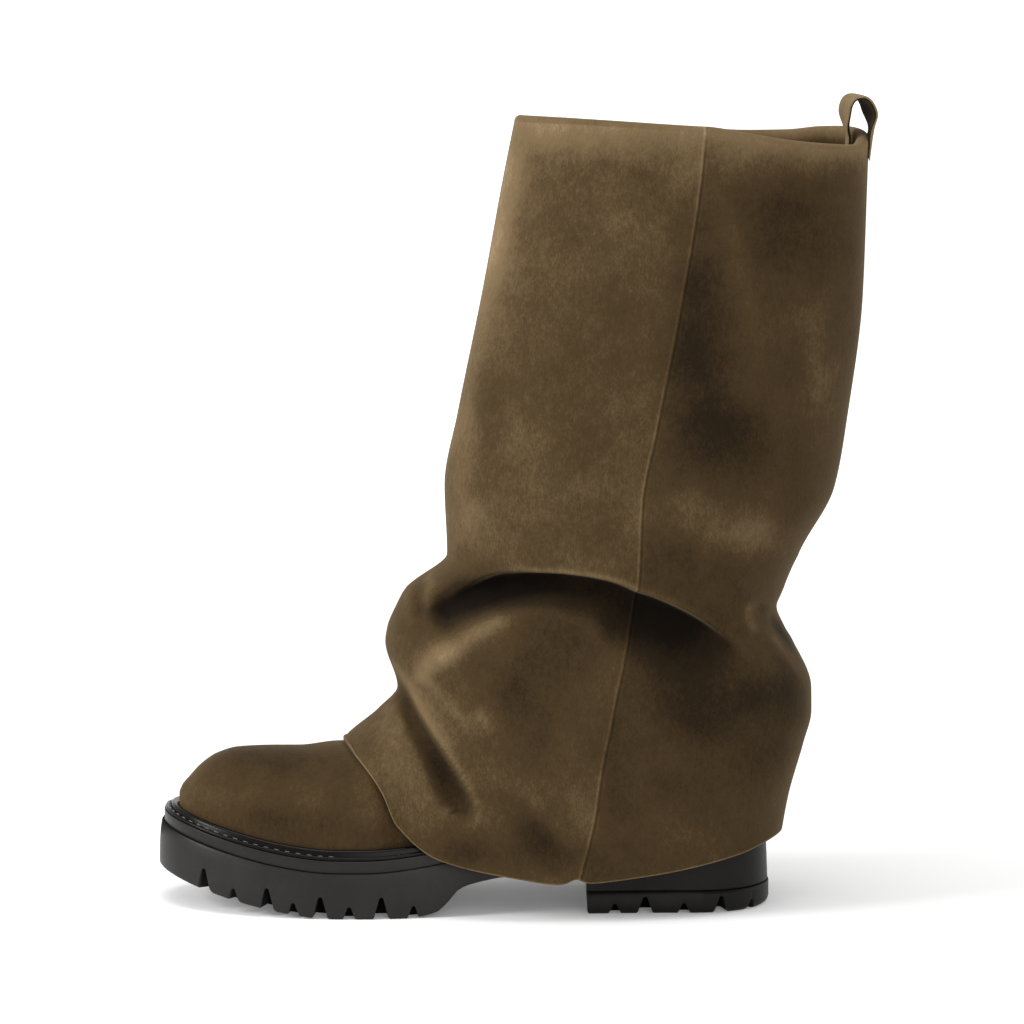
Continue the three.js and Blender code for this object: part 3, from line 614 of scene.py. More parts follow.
def cut_notches(block, places, large, small, lift):
    """Cuts the notches into both edges, then softens the cut edges."""
    cutters = []
    for side in ("outer", "inner"):
        for size, key in ((large, "large"), (small, "small")):
            for along in places[key]:
                cutters.append(notch_cutter(along, side, size, lift(along)))
    with bpy.context.temp_override(active_object=cutters[0], selected_editable_objects=cutters):
        bpy.ops.object.join()
    cut = block.modifiers.new("notches", "BOOLEAN")
    cut.operation = "DIFFERENCE"
    cut.solver = "EXACT"
    cut.object = cutters[0]
    applied(block)
    bpy.data.objects.remove(cutters[0])
    soften(block, 0.8, 38)
    x, y = np.array([(v.co.x, v.co.y) for v in block.data.vertices]).T / MM
    outer, inner = footprint(np.clip((HEEL_BACK - x) / SOLE_LENGTH, 0, 1), 0)
    set_attribute(block, "inward", np.minimum(y - outer, inner - y))
    return block


def soften(obj, width, angle, segments=2):
    """A small rounding on every edge sharper than an angle."""
    bevel = obj.modifiers.new("soften", "BEVEL")
    bevel.width = width * MM
    bevel.segments = segments
    bevel.limit_method = "ANGLE"
    bevel.angle_limit = math.radians(angle)
    applied(obj)
    obj.data.polygons.foreach_set("use_smooth", [True] * len(obj.data.polygons))
    obj.data.set_sharp_from_angle(angle=math.radians(55))


def round_rings(inset, low, high, radius, steps=3):
    """Rings of a wall with a round lower and upper edge."""
    rings = []
    for turn in np.linspace(0, math.pi / 2, steps + 1):
        draw, lift = radius * (1 - math.sin(turn)), radius * (1 - math.cos(turn))
        rings.append((inset + draw, lambda x, lift=lift: low(x) + lift))
    for turn in np.linspace(math.pi / 2, 0, steps + 1):
        draw, lift = radius * (1 - math.sin(turn)), radius * (1 - math.cos(turn))
        rings.append((inset + draw, lambda x, lift=lift: high(x) - lift))
    return rings


SOLE_STATIONS = 150

# How far each ring of a wall is drawn in, and its height over the wall's lower edge
HEEL_FOOT = ((1.6, 0), (0.8, 0.4), (0.6, 1))
TREAD_FOOT = ((1.3, 0), (0.5, 0.25), (0.1, 0.8), (0, 1.6))
LIFT_WALL = ((3, 0), (1.7, 0.3), (0.8, 1), (0.25, 1.9), (0, 3), (0, TOPLIFT - 1.2), (1.2, TOPLIFT))

# The welt's outer edge, as far as the groove for its stitches: drawn in from the rim, and under the shelf
WELT_GROOVE = 0.7
WELT_EDGE = ((0, 0.8), (0.3, 0.25), (0.9, 0), (1.4, 0), (1.5, WELT_GROOVE))
WELT_ROOT = 2.4

# The tread's flank over its foot: a share of the height, and how far it is drawn in there
TREAD_FLANK = ((0.4, 0.15), (0.7, 0.55), (0.93, 1.1))


def build_outsole(material):
    shares = np.sort(np.concatenate([stations(0, 1, SOLE_STATIONS), [HEEL_FRONT, HEEL_FRONT + 0.004]]))
    rings = []
    for draw, lift in TREAD_FOOT:
        rings.append((draw, lambda x, lift=lift: outsole_under(x) + lift))
    foot = TREAD_FOOT[-1][1]
    for share, draw in TREAD_FLANK:
        rings.append((draw, lambda x, share=share: mix(outsole_under(x) + foot, outsole_top(x), share)))
    rings.append((1.5, lambda x: outsole_top(x) - 0.15))
    rings.append((2.1, outsole_top))
    block = layer("outsole_tread", shares, rings, material)

    def lift(along):
        return float(outsole_under(place_x(along)))

    return cut_notches(block, TREAD_NOTCHES, LARGE_NOTCH, SMALL_NOTCH, lift)


def build_midsole(material):
    rings = round_rings(MIDSOLE_STEP, lambda x: sole_top(x) - MIDSOLE - 0.25, sole_top, 0.35)
    return layer("midsole_band", stations(0, 1, SOLE_STATIONS), rings, material)


def heel_shares():
    shares = stations(0, 2 * HEEL_FRONT, SOLE_STATIONS)
    return np.append(shares[shares < HEEL_FRONT - 0.002], HEEL_FRONT)


def build_heel_block(material):
    low, high = TOPLIFT + GAP, lambda x: outsole_under(x) - GAP
    rings = [(draw, lambda x, up=up: np.full_like(x, low + up)) for draw, up in HEEL_FOOT]
    rings += [(1.0, lambda x: mix(low, high(x), 0.5)), (1.5, lambda x: high(x) - 0.3), (2, high)]
    block = layer("heel_stack", heel_shares(), rings, material)
    soften(block, 0.8, 50)
    return block


def build_toplift(material):
    rings = []
    for draw, height in LIFT_WALL:
        rings.append((draw, lambda x, height=height: np.full_like(x, float(height))))
    block = layer("heel_lift", heel_shares(), rings, material)
    front = (float(place_x(HEEL_FRONT)) + HEEL_BACK) * MM
    for vertex in block.data.vertices:
        if vertex.co.x < front + 1e-4:
            fall = 1 - min(1, vertex.co.z / MM / FRONT_ROUND)
            vertex.co.x += FRONT_ROUND * (1 - math.sqrt(1 - fall * fall)) * MM
    return cut_notches(block, LIFT_NOTCHES, LARGE_LIFT_NOTCH, SMALL_LIFT_NOTCH, lambda a: 0.0)


def build_welt(material):
    """The storm welt: a shelf with a sewn groove and a round bead against the upper."""
    def up(lift):
        return lambda x: sole_top(x) + GAP + lift

    bead = SHELF_INSET - BEAD_WIDTH
    rings = [(WELT_RIM + 0.3, up(-0.2)), (WELT_RIM, up(0.1))]
    rings += [(WELT_RIM + draw, up(WELT_THICKNESS - below)) for draw, below in WELT_EDGE]
    rings.append((bead - 0.5, up(WELT_THICKNESS - WELT_GROOVE)))
    radius = BEAD_WIDTH / 2
    rise = BEAD_HEIGHT - radius
    for turn in np.linspace(math.pi, 0.25 * math.pi, 8):
        rings.append((bead + radius + radius * math.cos(turn), up(rise + radius * math.sin(turn))))
    rings += [(SHELF_INSET + WELT_ROOT, up(rise)), (SHELF_INSET + WELT_ROOT, up(0))]
    loops = layer_points(stations(0, 1, SOLE_STATIONS), rings)
    faces = tube_faces(loops.shape[0], loops.shape[1], closed=True)
    obj = make_mesh("storm_welt", loops, faces, material, sharp=60)
    fix_normals(obj)
    return obj


# Upper
def power(v, n):
    return np.abs(v) ** n


def section_loop(front, back, widest, centre, half, crown, base, angles):
    """One planar section of the last."""
    middle = (mix(back[0], front[0], widest), mix(back[1], front[1], widest))
    c, s = np.cos(angles), np.sin(angles)
    n = np.where(c > 0, crown, base)
    end_x = np.where(c > 0, front[0], back[0])
    end_z = np.where(c > 0, front[1], back[1])
    reach = power(c, 2 / n)
    across = np.sign(s) * power(s, 2 / n) * half
    return np.stack([mix(middle[0], end_x, reach), centre - across, mix(middle[1], end_z, reach)], 1)


ROOT_DEPTH = 9
VAMP_WIDEST = 0.34
VAMP_CROWN = 2.25


def vamp_top(row):
    return float(sole_top(place_x(row["along"]))) + row["crest"] * TOE_BOX


def vamp_loop(along, top, angles):
    outer, inner = footprint(along, SHELF_INSET)
    x = float(place_x(along))
    bottom = float(sole_top(x)) - ROOT_DEPTH
    centre, half = (outer + inner) / 2, (inner - outer) / 2
    return section_loop((x, top), (x, bottom), VAMP_WIDEST, centre, half, VAMP_CROWN, 7, angles)


def leg_loop(row, angles):
    x = float(place_x(row["back"]))
    if row["foot"] is None:
        bottom = float(sole_top(x)) - ROOT_DEPTH
    elif row["foot"] < 1:
        bottom = mix(float(sole_top(x)), float(place_z(1)), row["foot"])
    else:
        bottom = float(place_z(row["foot"]))
    front = (float(place_x(row["front"])), float(place_z(row["top"])))
    half = row["width"] * BALL_WIDTH
    return section_loop(front, (x, bottom), row["widest"], 0, half, row["crown"], row["base"], angles)


def spline_rows(loops, count):
    """Resamples a stack of loops along its own length with smooth curves."""
    loops = np.asarray(loops)
    steps = np.linalg.norm(np.diff(loops, axis=0), axis=2).mean(1)
    at = np.concatenate([[0], np.cumsum(steps)])
    return spline(at, loops, np.linspace(0, at[-1], count))


ROLL = (SHAFT_WALL + GAP + UPPER_WALL + GAP + SHAFT_WALL) / 2
LEG_INSET = SHAFT_WALL + GAP


def draw_in(loop, distance, drop=0.0):
    """Moves a loop inward in its own plane, square to the loop."""
    after, before = np.roll(loop, -1, 0), np.roll(loop, 1, 0)
    run = (after - before)[:, :2]
    run /= np.linalg.norm(run, axis=1)[:, None]
    out = loop.copy()
    out[:, 0] -= run[:, 1] * distance
    out[:, 1] += run[:, 0] * distance
    out[:, 2] -= drop
    return out


def offset_surface(loops, distance):
    """Moves a grid of loops square to its surface."""
    up = np.gradient(loops, axis=0)
    across = np.roll(loops, -1, 1) - np.roll(loops, 1, 1)
    normal = -np.cross(up, across)
    normal /= np.maximum(np.linalg.norm(normal, axis=2), 1e-9)[:, :, None]
    return loops + normal * distance


UPPER_AROUND, UPPER_ROWS = 112, 190
# Height shares of the leg's last loops under the shaft's roll, and how far each is drawn in further
COLLAR_LOOPS = ((1.8, 2 * UPPER_WALL), (1.9, 0), (2 - LEG_INSET / (COLLAR - NECK), 0))


def build_upper(material):
    around = UPPER_AROUND
    angles = np.linspace(0, 2 * np.pi, around, endpoint=False)
    loops = [vamp_loop(row["along"], vamp_top(row), angles) for row in VAMP]
    loops += [leg_loop(row, angles) for row in LEG]
    turn = np.degrees(angles)
    for height, ease in COLLAR_LOOPS:
        loops.append(draw_in(base_point(turn, height), LEG_INSET + ease))
    fine = spline_rows(loops, UPPER_ROWS)
    inner = offset_surface(fine, -UPPER_WALL)
    floor = sole_top(fine[:, :, 0]) + GAP
    fine[:, :, 2] = np.maximum(fine[:, :, 2], floor)
    inner[:, :, 2] = np.maximum(inner[:, :, 2], sole_top(inner[:, :, 0]) + GAP + UPPER_WALL)
    points = np.concatenate([fine, inner[::-1]])
    faces = tube_faces(len(points), around)
    first, last = list(range(around)), list(range((len(points) - 1) * around, len(points) * around))
    faces.append(tuple(first[::-1]))
    faces.append(tuple(last))
    obj = make_mesh("suede_upper", points, faces, material)
    set_attribute(obj, "tone", patch_tone(TOE_PATCHES, -points[..., 0], points[..., 2]))
    fix_normals(obj)
    return obj


# Shaft
def base_point(turn, height):
    """The plain outside of the shaft at an angle in degrees and a height share, without its creases."""
    turn, height = np.broadcast_arrays(np.asarray(turn, float), np.asarray(height, float))
    folded = np.where(turn > 180, 360 - turn, turn)
    side = np.where(turn > 180, 1.0, -1.0)
    c, s = np.cos(np.radians(folded)), np.sin(np.radians(folded))
    n = np.where(c > 0, shaft_at["nose"](height), SHAFT_BACK_POWER)
    seam = place_x(shaft_at["seam"](height))
    end = place_x(np.where(c > 0, shaft_at["front"](height), shaft_at["back"](height)))
    x = mix(seam, end, power(c, 2 / n))
    above = np.maximum(0, height - 1)
    dip = COLLAR_DROP * np.where(side < 0, rim_dip["outer"](folded), rim_dip["inner"](folded))
    z = place_z(height) - dip * above**2
    y = side * power(s, 2 / n) * shaft_at["width"](height) * BALL_WIDTH
    return np.stack([x, y, z], -1)


def hem_z(along):
    """The height of the hem, with the little tuck where the side seam ends."""
    tuck = HEM_TUCK["rise"] * hill(along - HEM_TUCK["along"], HEM_TUCK["width"])
    return place_z(hem_height(along)) + tuck


def hem_share(turn):
    """The height share at which each column of the shaft meets the hem."""
    low = np.full_like(turn, SHAFT[-1]["height"])
    high = np.full_like(turn, 0.5)
    for _ in range(30):
        middle = (low + high) / 2
        p = base_point(turn, middle)
        above = p[..., 2] > hem_z(-p[..., 0] / SOLE_LENGTH)
        high = np.where(above, middle, high)
        low = np.where(above, low, middle)
    return high


def fine_line(points, count=48):
    """A smooth line through a crease's points."""
    p = np.array(points, float)
    t = np.concatenate([[0], np.cumsum(np.linalg.norm(np.diff(p, axis=0), axis=1))])
    return spline(t, p, np.linspace(0, t[-1], count))


def along_line(line, forward, up):
    """Distance to a line, positive on its left hand, and the share of its length where that is."""
    start, run = line[:-1], np.diff(line, axis=0)
    length = np.linalg.norm(run, axis=1)
    best = np.full(forward.shape, 1e9)
    signed = np.zeros(forward.shape)
    share = np.zeros(forward.shape)
    total = length.sum()
    done = 0.0
    for k in range(len(run)):
        rx, ry = forward - start[k, 0], up - start[k, 1]
        t = (rx * run[k, 0] + ry * run[k, 1]) / length[k] ** 2
        inside = np.clip(t, 0, 1)
        dx, dy = rx - inside * run[k, 0], ry - inside * run[k, 1]
        d = np.hypot(dx, dy)
        turn = run[k, 1] * rx - run[k, 0] * ry
        closer = d < best
        best = np.where(closer, d, best)
        signed = np.where(closer, np.sign(turn) * d, signed)
        share = np.where(closer, (done + inside * length[k]) / total, share)
        done += length[k]
    return signed, share, best


def past_ends(line, forward, up):
    """How far a point lies before the start or past the end of a line, in millimetres."""
    first, last = line[1] - line[0], line[-1] - line[-2]
    first, last = first / np.linalg.norm(first), last / np.linalg.norm(last)
    before = -((forward - line[0, 0]) * first[0] + (up - line[0, 1]) * first[1])
    after = (forward - line[-1, 0]) * last[0] + (up - line[-1, 1]) * last[1]
    return np.maximum(0, before), np.maximum(0, after)


END_FADE = 7
TUCK_REACH = 7
RIDGE_END = 0.25


def crease_field(forward, up):
    """Outward displacement, downward tuck and tone of the creases at a place on the side. The tone holds
    painted shade in their hollows, painted highlights on their lips and ridges, and the patches.
    """
    out = np.zeros(forward.shape)
    tuck = np.zeros(forward.shape)
    tone = np.zeros(forward.shape)
    for lip in LIPS.values():
        line = fine_line(lip["line"])
        s, t, d = along_line(line, forward, up)
        drop = np.interp(t, lip["shares"], lip["drop"])
        reach = np.interp(t, lip["shares"], lip["reach"])
        hold = lip["edge"] + (reach - lip["edge"]) * np.interp(t, lip["shares"], lip["hold"])
        ease = np.sin(np.pi * np.clip(t, 0.04, 0.96)) ** 0.5
        below = np.maximum(-s, 0)
        press = smooth(below / lip["edge"]) * (1 - smooth((below - hold) / np.maximum(reach - hold, 1)))
        before, after = past_ends(line, forward, up)
        fade = np.exp(-((before / END_FADE) ** 2) - (after / END_FADE) ** 2)
        roll = np.where(s > 0, lip["roll"], lip["edge"])
        depth = drop / max(lip["drop"])
        out += (lip["rise"] * ease * hill(s, roll) - drop * press) * fade
        tuck += lip["tuck"] * depth * fade * np.exp(-np.abs(s) / TUCK_REACH) * np.tanh((s + 0.5) / 2.5)
        # A painted highlight along each lip's edge and painted shade in the hollow under it
        tone += fade * depth * (lip["light"] * np.exp(-((s - 1) ** 2) / 3) - lip["dark"] * press)
    for ridge in RIDGES:
        line = fine_line(ridge["line"])
        s, t, d = along_line(line, forward, up)
        ends = smooth(t / RIDGE_END) * smooth((1 - t) / RIDGE_END)
        bump = hill(d, ridge["width"]) * (ends * 0.85 + 0.15)
        out += ridge["amount"] * bump
        # Painted light along the ridges and painted shade along the troughs
        tone += ridge["tone"] * bump
    return out, tuck, tone + patch_tone(PATCHES, forward, up)


def patch_tone(patches, forward, up):
    tone = np.zeros(forward.shape)
    for patch in patches:
        across = (forward - patch["forward"]) / patch["wide"]
        along = (up - patch["up"]) / patch["high"]
        tone += patch["tone"] * np.exp(-(across**2 + along**2))
    return tone


VAMP_COVER = SHAFT_WALL + GAP + 0.9
VAMP_COVERED_FROM, VAMP_COVERED_UP = 0.56, 0.62


def vamp_section(p):
    """The vamp under points of the shaft: the place along the sole, the height where it is widest, each
    point's height over that as a share of the crest's, the middle and the half width."""
    along = -p[..., 0] / SOLE_LENGTH
    rows = [{"along": row["along"], "top": vamp_top(row)} for row in VAMP]
    rows += [{"along": row["front"], "top": float(place_z(row["top"]))} for row in LEG[:3]]
    top = Column(rows, "along", "top")(along)
    outer, inner = footprint(along, SHELF_INSET)
    bottom = sole_top(p[..., 0]) - ROOT_DEPTH
    middle = bottom + VAMP_WIDEST * (top - bottom)
    lift = np.maximum(0, p[..., 2] - middle) / (top - middle + VAMP_COVER)
    return along, middle, lift, (outer + inner) / 2, np.maximum((inner - outer) / 2, 1) + VAMP_COVER


def over_vamp(p):
    """Keeps the front of the shaft outside the vamp."""
    along, middle, lift, centre, half = vamp_section(p)
    out = np.abs(p[..., 1] - centre) / half
    rho = np.maximum((lift**VAMP_CROWN + out**VAMP_CROWN) ** (1 / VAMP_CROWN), 0.05)
    move = (along >= VAMP_COVERED_FROM) & (p[..., 2] < place_z(VAMP_COVERED_UP)) & (rho < 1)
    q = p.copy()
    q[..., 1] = np.where(move, centre + (p[..., 1] - centre) / rho, p[..., 1])
    q[..., 2] = np.where(move & (p[..., 2] > middle), middle + (p[..., 2] - middle) / rho, p[..., 2])
    return q


CLEARANCE = 0.5
CLEARED_UP = 0.95


def clear_of(upper, p, side):
    """How far out from the boot's middle plane the shaft's outside must stay to clear the upper."""
    tree = BVHTree.FromObject(upper, bpy.context.evaluated_depsgraph_get())
    least = np.zeros(p.shape[:-1])
    low = p[..., 2] < place_z(CLEARED_UP)
    for place in zip(*np.nonzero(low)):
        x, _, z = p[place]
        away = float(side[place])
        start = Vector(((x + HEEL_BACK) * MM, away * 0.2, z * MM))
        hit = tree.ray_cast(start, Vector((0, -away, 0)))[0]
        if hit is not None:
            least[place] = away * hit.y / MM + SHAFT_WALL + CLEARANCE
    return least


PRESS_LIMIT = 1.2
# A band of painted shade in the fold round the back: its height, its reach up and down, and its change of
# tone
BACK_FOLD_SHADE = {"up": 130, "high": 8, "tone": -0.3}
SEAM_STEPS = (0.2, 0.45, 0.75, 1.05, 1.4, 1.8, 2.3, 3, 4)
SEAM_OFFSETS = (*(-u for u in SEAM_STEPS[::-1]), 0, *SEAM_STEPS)
SEAM_SPAN = 84
COLUMNS_AROUND = 268


def shaft_turns():
    """Angles of the columns, closer together beside the two side seams."""
    seam = [math.degrees(math.acos(math.copysign((abs(u) / SEAM_SPAN) ** 1.1, -u))) for u in SEAM_OFFSETS]
    near, far = np.array(seam), 360 - np.array(seam)
    plain = np.linspace(0, 360, COLUMNS_AROUND, endpoint=False)
    clear = np.minimum(np.abs(plain - 90), np.abs(plain - 270)) > near.max() - 90 + 0.5
    return np.sort(np.concatenate([plain[clear], near, far]))


SEAM_RIDGE = {"at": -0.3, "width": 0.8, "high": 0.26}
SEAM_GROOVE = {"at": 0.9, "width": 0.55, "high": -0.32}
# How far out to the side, as a share of the half width, the folds and the seam come in
FLANK = {"from": 0.12, "over": 0.45}
SEAM_FLANK = {"from": 0.9, "over": 0.05}


def seam_profile(u):
    """The closed side seam: a low ridge with a groove behind it. u is the distance behind the seam."""
    return sum(part["high"] * hill(u - part["at"], part["width"]) for part in (SEAM_RIDGE, SEAM_GROOVE))


def comes_in(outward, flank):
    return smooth((outward - flank["from"]) / flank["over"])


def round_tone(tone, turn, outward, up):
    """The tone as it fades towards the middle of the front, and gives way round the back to a band of
    painted shade in the fold there.
    """
    fold = BACK_FOLD_SHADE["tone"] * hill(up - BACK_FOLD_SHADE["up"], BACK_FOLD_SHADE["high"])
    aside = smooth((outward - 0.05) / 0.4)
    behind = tone * aside + fold * (1 - aside)
    return np.where(np.cos(np.radians(turn)) < 0, behind, tone * smooth(outward / 0.15))


def shape_shaft(turn, height, upper):
    """The shaft's outside with all its creases, and what its finish needs to know of each point."""
    p = base_point(turn, height)
    side = np.where(turn > 180, 1.0, -1.0)
    half = np.maximum(shaft_at["width"](height) * BALL_WIDTH, 1)
    outward = np.abs(p[..., 1]) / half
    near = crease_field(-p[..., 0], p[..., 2])
    far = crease_field(-p[..., 0] - FAR_SHIFT, p[..., 2])
    out, tuck, tone = (np.where(side < 0, a, b * FAR_SHARE) for a, b in zip(near, far))
    flank = comes_in(outward, FLANK)
    u = p[..., 0] - place_x(shaft_at["seam"](height))
    seam = seam_profile(u) * comes_in(outward, SEAM_FLANK)
    q = over_vamp(p)
    least = clear_of(upper, q, side)
    pressed = np.abs(q[..., 1]) + out * flank
    over = np.clip((pressed - least) / PRESS_LIMIT, -40, 40)
    limited = least + PRESS_LIMIT * np.log1p(np.exp(over))
    q[..., 1] = side * (np.where(least > 1, np.maximum(limited, pressed), pressed) + seam)
    q[..., 2] -= tuck * flank
    return q, u, round_tone(tone, turn, outward, p[..., 2])


ROWS_BELOW, ROWS_ABOVE = 108, 116
ROWS_INSIDE = {"below": 56, "above": 18}
OUT_OF_REACH = 60.0
# A painted highlight along the rolled rim: how far down it reaches, how much stronger behind, and its
# strength on the facing
RIM_HIGHLIGHT = {"reach": 9, "behind": 0.7, "facing": 0.2}


def shaft_heights(turn):
    """The height shares of each column's points: from the hem to the fold's lip, and on to the rim."""
    low, edge = hem_share(turn), lip_height(np.where(turn > 180, 360 - turn, turn))
    below = 1 - (1 - np.linspace(0, 1, ROWS_BELOW, endpoint=False)) ** 1.5
    above = np.linspace(0, 1, ROWS_ABOVE) ** 1.25
    return np.concatenate([low + (edge - low) * below[:, None], edge + (2 - edge) * above[:, None]])


def shaft_roll(turn):
    """Loops over the rim and down the facing inside the leg, and those back up behind the facing."""
    rim = base_point(turn, np.full_like(turn, 2.0))
    facing_loop = base_point(turn, np.full_like(turn, 2 - FACING / (COLLAR - NECK)))
    arcs = np.linspace(0, math.pi, 11)
    inner = ROLL - SHAFT_WALL
    over = [draw_in(rim, ROLL - ROLL * math.cos(a), -ROLL * math.sin(a)) for a in arcs[1:]]
    facing = [mix(over[-1], draw_in(facing_loop, 2 * ROLL), t) for t in (0.35, 0.7, 0.95, 1)]
    back = [draw_in(facing_loop, 2 * ROLL - SHAFT_WALL)]
    back += [draw_in(rim, ROLL - inner * math.cos(a), -inner * math.sin(a)) for a in arcs[::-2]]
    return over, facing, back


def shaft_inside(outside):
    """The inner face, from the rim down, with fewer rows than the outer one."""
    low_rows = np.linspace(3, ROWS_BELOW + 18, ROWS_INSIDE["below"])
    high_rows = np.linspace(ROWS_BELOW + 22, len(outside) - 1, ROWS_INSIDE["above"])
    picks = np.unique(np.concatenate([[0, 1], low_rows, high_rows]).astype(int))
    return offset_surface(outside, -SHAFT_WALL)[picks[:-1]][::-1]


def way_along(loops):
    """The way along each column of a grid from its first loop."""
    steps = np.linalg.norm(np.diff(loops, axis=0), axis=2)
    return np.concatenate([np.zeros((1, loops.shape[1])), np.cumsum(steps, 0)])


def build_shaft(material, upper):
    turn = shaft_turns()
    height = shaft_heights(turn)
    grid_turn = np.broadcast_to(turn, height.shape)
    outside, u, tone = shape_shaft(grid_turn, height, upper)
    outside = mix(outside, base_point(grid_turn, height), smooth((height - 1.93) / 0.07)[..., None])
    over, facing, back = shaft_roll(turn)
    loops = np.concatenate([outside, over, facing, back, shaft_inside(outside)])
    count, around = loops.shape[:2]
    obj = make_mesh("suede_shaft", loops, tube_faces(count, around, closed=True), material)

    skin, roll = len(outside), len(outside) + len(over)
    hem, seam = np.full((2, count, around), OUT_OF_REACH)
    shade, rim = np.zeros((2, count, around))
    hem[:skin] = way_along(outside)
    seam[:skin] = u
    seam[skin:roll] = u[-1]
    shade[:skin] = tone
    # The rim's painted highlight, stronger towards the back
    rim_highlight = 1 + RIM_HIGHLIGHT["behind"] * smooth((70 + outside[-1, :, 0]) / 50)
    rim[:skin] = np.exp(-way_along(outside[::-1])[::-1] / RIM_HIGHLIGHT["reach"]) * rim_highlight
    rim[skin:roll] = rim_highlight
    rim[roll: roll + len(facing)] = RIM_HIGHLIGHT["facing"]
    for name, values in (("hem", hem), ("seam", seam), ("tone", shade), ("rim", rim)):
        set_attribute(obj, name, values)
    return obj


# Pull loop
LOOP = {"width": 19, "thickness": 1.8, "rise": 17.5, "inside": 12, "outside": 10}
LOOP.update({"fit": 2, "bow": 2.5, "shoulder": 10, "base": 1, "shift": 1})
LOOP_TURNS = (12, 17)


def bezier(a, b, c, d, count=24):
    t = np.linspace(0, 1, count)[:, None]
    a, b, c, d = (np.array(point, float) for point in (a, b, c, d))
    return (1 - t) ** 3 * a + 3 * (1 - t) ** 2 * t * b + 3 * (1 - t) * t * t * c + t**3 * d


def loop_path(back, lean):
    """The strap's middle line in the boot's middle plane, from inside the leg over to the outside."""
    t, bow, shift = LOOP["thickness"] / 2, LOOP["bow"], LOOP["shift"]
    inside = back[0] - 2 * ROLL - LOOP["fit"] - t
    outside = back[0] + GAP + t
    top = back[2] + ROLL + LOOP["rise"] - t
    base, shoulder = back[2] + LOOP["base"], back[2] + LOOP["shoulder"]
    middle = (inside + outside) / 2 - shift
    path = np.concatenate([
        np.linspace((inside - lean, back[2] - LOOP["inside"]), (inside, base), 10, endpoint=False),
        bezier((inside, base), (inside - bow, shoulder), (inside - bow, top), (middle, top))[:-1],
        bezier((middle, top), (outside - shift, top), (outside + bow * 0.75, shoulder), (outside, base)),
        np.linspace((outside, base), (outside, back[2] - LOOP["outside"]), 10)[1:],
    ])
    return path, inside, outside


def build_loop(material):
    """The strap that straddles the roll. Above it the strap's faces turn to the outer side."""
    back = base_point(np.array(180.0), np.array(2.0))
    lean = back[0] - base_point(np.array(180.0), np.array(2 - FACING / (COLLAR - NECK)))[0]
    path, inside, outside = loop_path(back, lean)
    t = LOOP["thickness"] / 2
    run = np.gradient(path, axis=0)
    run /= np.linalg.norm(run, axis=1)[:, None]
    normal = np.stack([-run[:, 1], run[:, 0]], 1)
    corners = 32
    turn = np.linspace(0, 2 * np.pi, corners, endpoint=False)
    across = np.sign(np.cos(turn)) * np.abs(np.cos(turn)) ** 0.2 * LOOP["width"] / 2
    thick = np.sign(np.sin(turn)) * np.abs(np.sin(turn)) ** 0.5 * t
    loops = []
    for step, (spot, n) in enumerate(zip(path, normal)):
        thin = 1 - 0.75 * max(0, step - len(path) + 10) / 9
        x = spot[0] + n[0] * thick * thin - t * (1 - thin)
        z = spot[1] + n[1] * thick * thin
        share = (x - inside + t) / (outside - inside + 2 * t)
        rise = smooth((z - back[2] - ROLL) / LOOP["shoulder"])
        angle = np.radians(mix(*LOOP_TURNS, share) * rise)
        loops.append(np.stack([x - back_curve(across) - across * np.tan(angle), across, z], 1))
    faces = tube_faces(len(loops), corners)
    faces.append(tuple(range(corners)))
    faces.append(tuple(range((len(loops) - 1) * corners, len(loops) * corners)))
    obj = make_mesh("suede_pull_loop", np.array(loops), faces, material)
    # Marks the strap's inner faces, which are painted in shade
    set_attribute(obj, "loop_inner_shade", np.tile(np.where(thick < 0, 1.0, 0.0), len(loops)))
    fix_normals(obj)
    return obj


def back_curve(y):
    """How far the collar's back has curved forward at a distance from its middle."""
    half = shaft_at["width"](2.0) * BALL_WIDTH
    depth = place_x(shaft_at["back"](2.0)) - place_x(shaft_at["seam"](2.0))
    return depth * (1 - (1 - (np.abs(y) / half) ** 2.2) ** (1 / 2.2))


# Stitches
def stitch_tree():
    """Geometry Nodes: thread stitches at a pitch along a curve."""
    tree = bpy.data.node_groups.new("stitches", "GeometryNodeTree")
    face = tree.interface
    face.new_socket(name="Geometry", in_out="INPUT", socket_type="NodeSocketGeometry")
    for name, value in (("Pitch", 0.005), ("Length", 0.003), ("Thread", 0.0004)):
        face.new_socket(name=name, in_out="INPUT", socket_type="NodeSocketFloat").default_value = value
    face.new_socket(name="Finish", in_out="INPUT", socket_type="NodeSocketMaterial")
    face.new_socket(name="Geometry", in_out="OUTPUT", socket_type="NodeSocketGeometry")

    def add(kind, settings=None, **wires):
        """A node whose inputs take outputs of other nodes, given as (node, output)."""
        made = tree.nodes.new(kind)
        for key, value in (settings or {}).items():
            setattr(made, key, value)
        for key, (source, output) in wires.items():
            tree.links.new(source.outputs[output], made.inputs[key])
        return made

    start = add("NodeGroupInput")
    spaced = {"Curve": (start, "Geometry"), "Length": (start, "Pitch")}
    points = add("GeometryNodeCurveToPoints", {"mode": "LENGTH"}, **spaced)
    ball = add("GeometryNodeMeshUVSphere")
    for key, value in (("Segments", 8), ("Rings", 6), ("Radius", 1)):
        ball.inputs[key].default_value = value
    align = add("FunctionNodeAlignRotationToVector", {"axis": "X"}, Vector=(points, "Tangent"))
    size = add("ShaderNodeCombineXYZ", X=(start, "Length"), Y=(start, "Thread"), Z=(start, "Thread"))
    wires = {"Points": (points, "Points"), "Instance": (ball, "Mesh")}
    wires.update(Rotation=(align, "Rotation"), Scale=(size, "Vector"))
    place = add("GeometryNodeInstanceOnPoints", **wires)
    real = add("GeometryNodeRealizeInstances", Geometry=(place, "Instances"))
    finish = add("GeometryNodeSetMaterial", Geometry=(real, "Geometry"), Material=(start, "Finish"))
    add("NodeGroupOutput", Geometry=(finish, "Geometry"))
    return tree


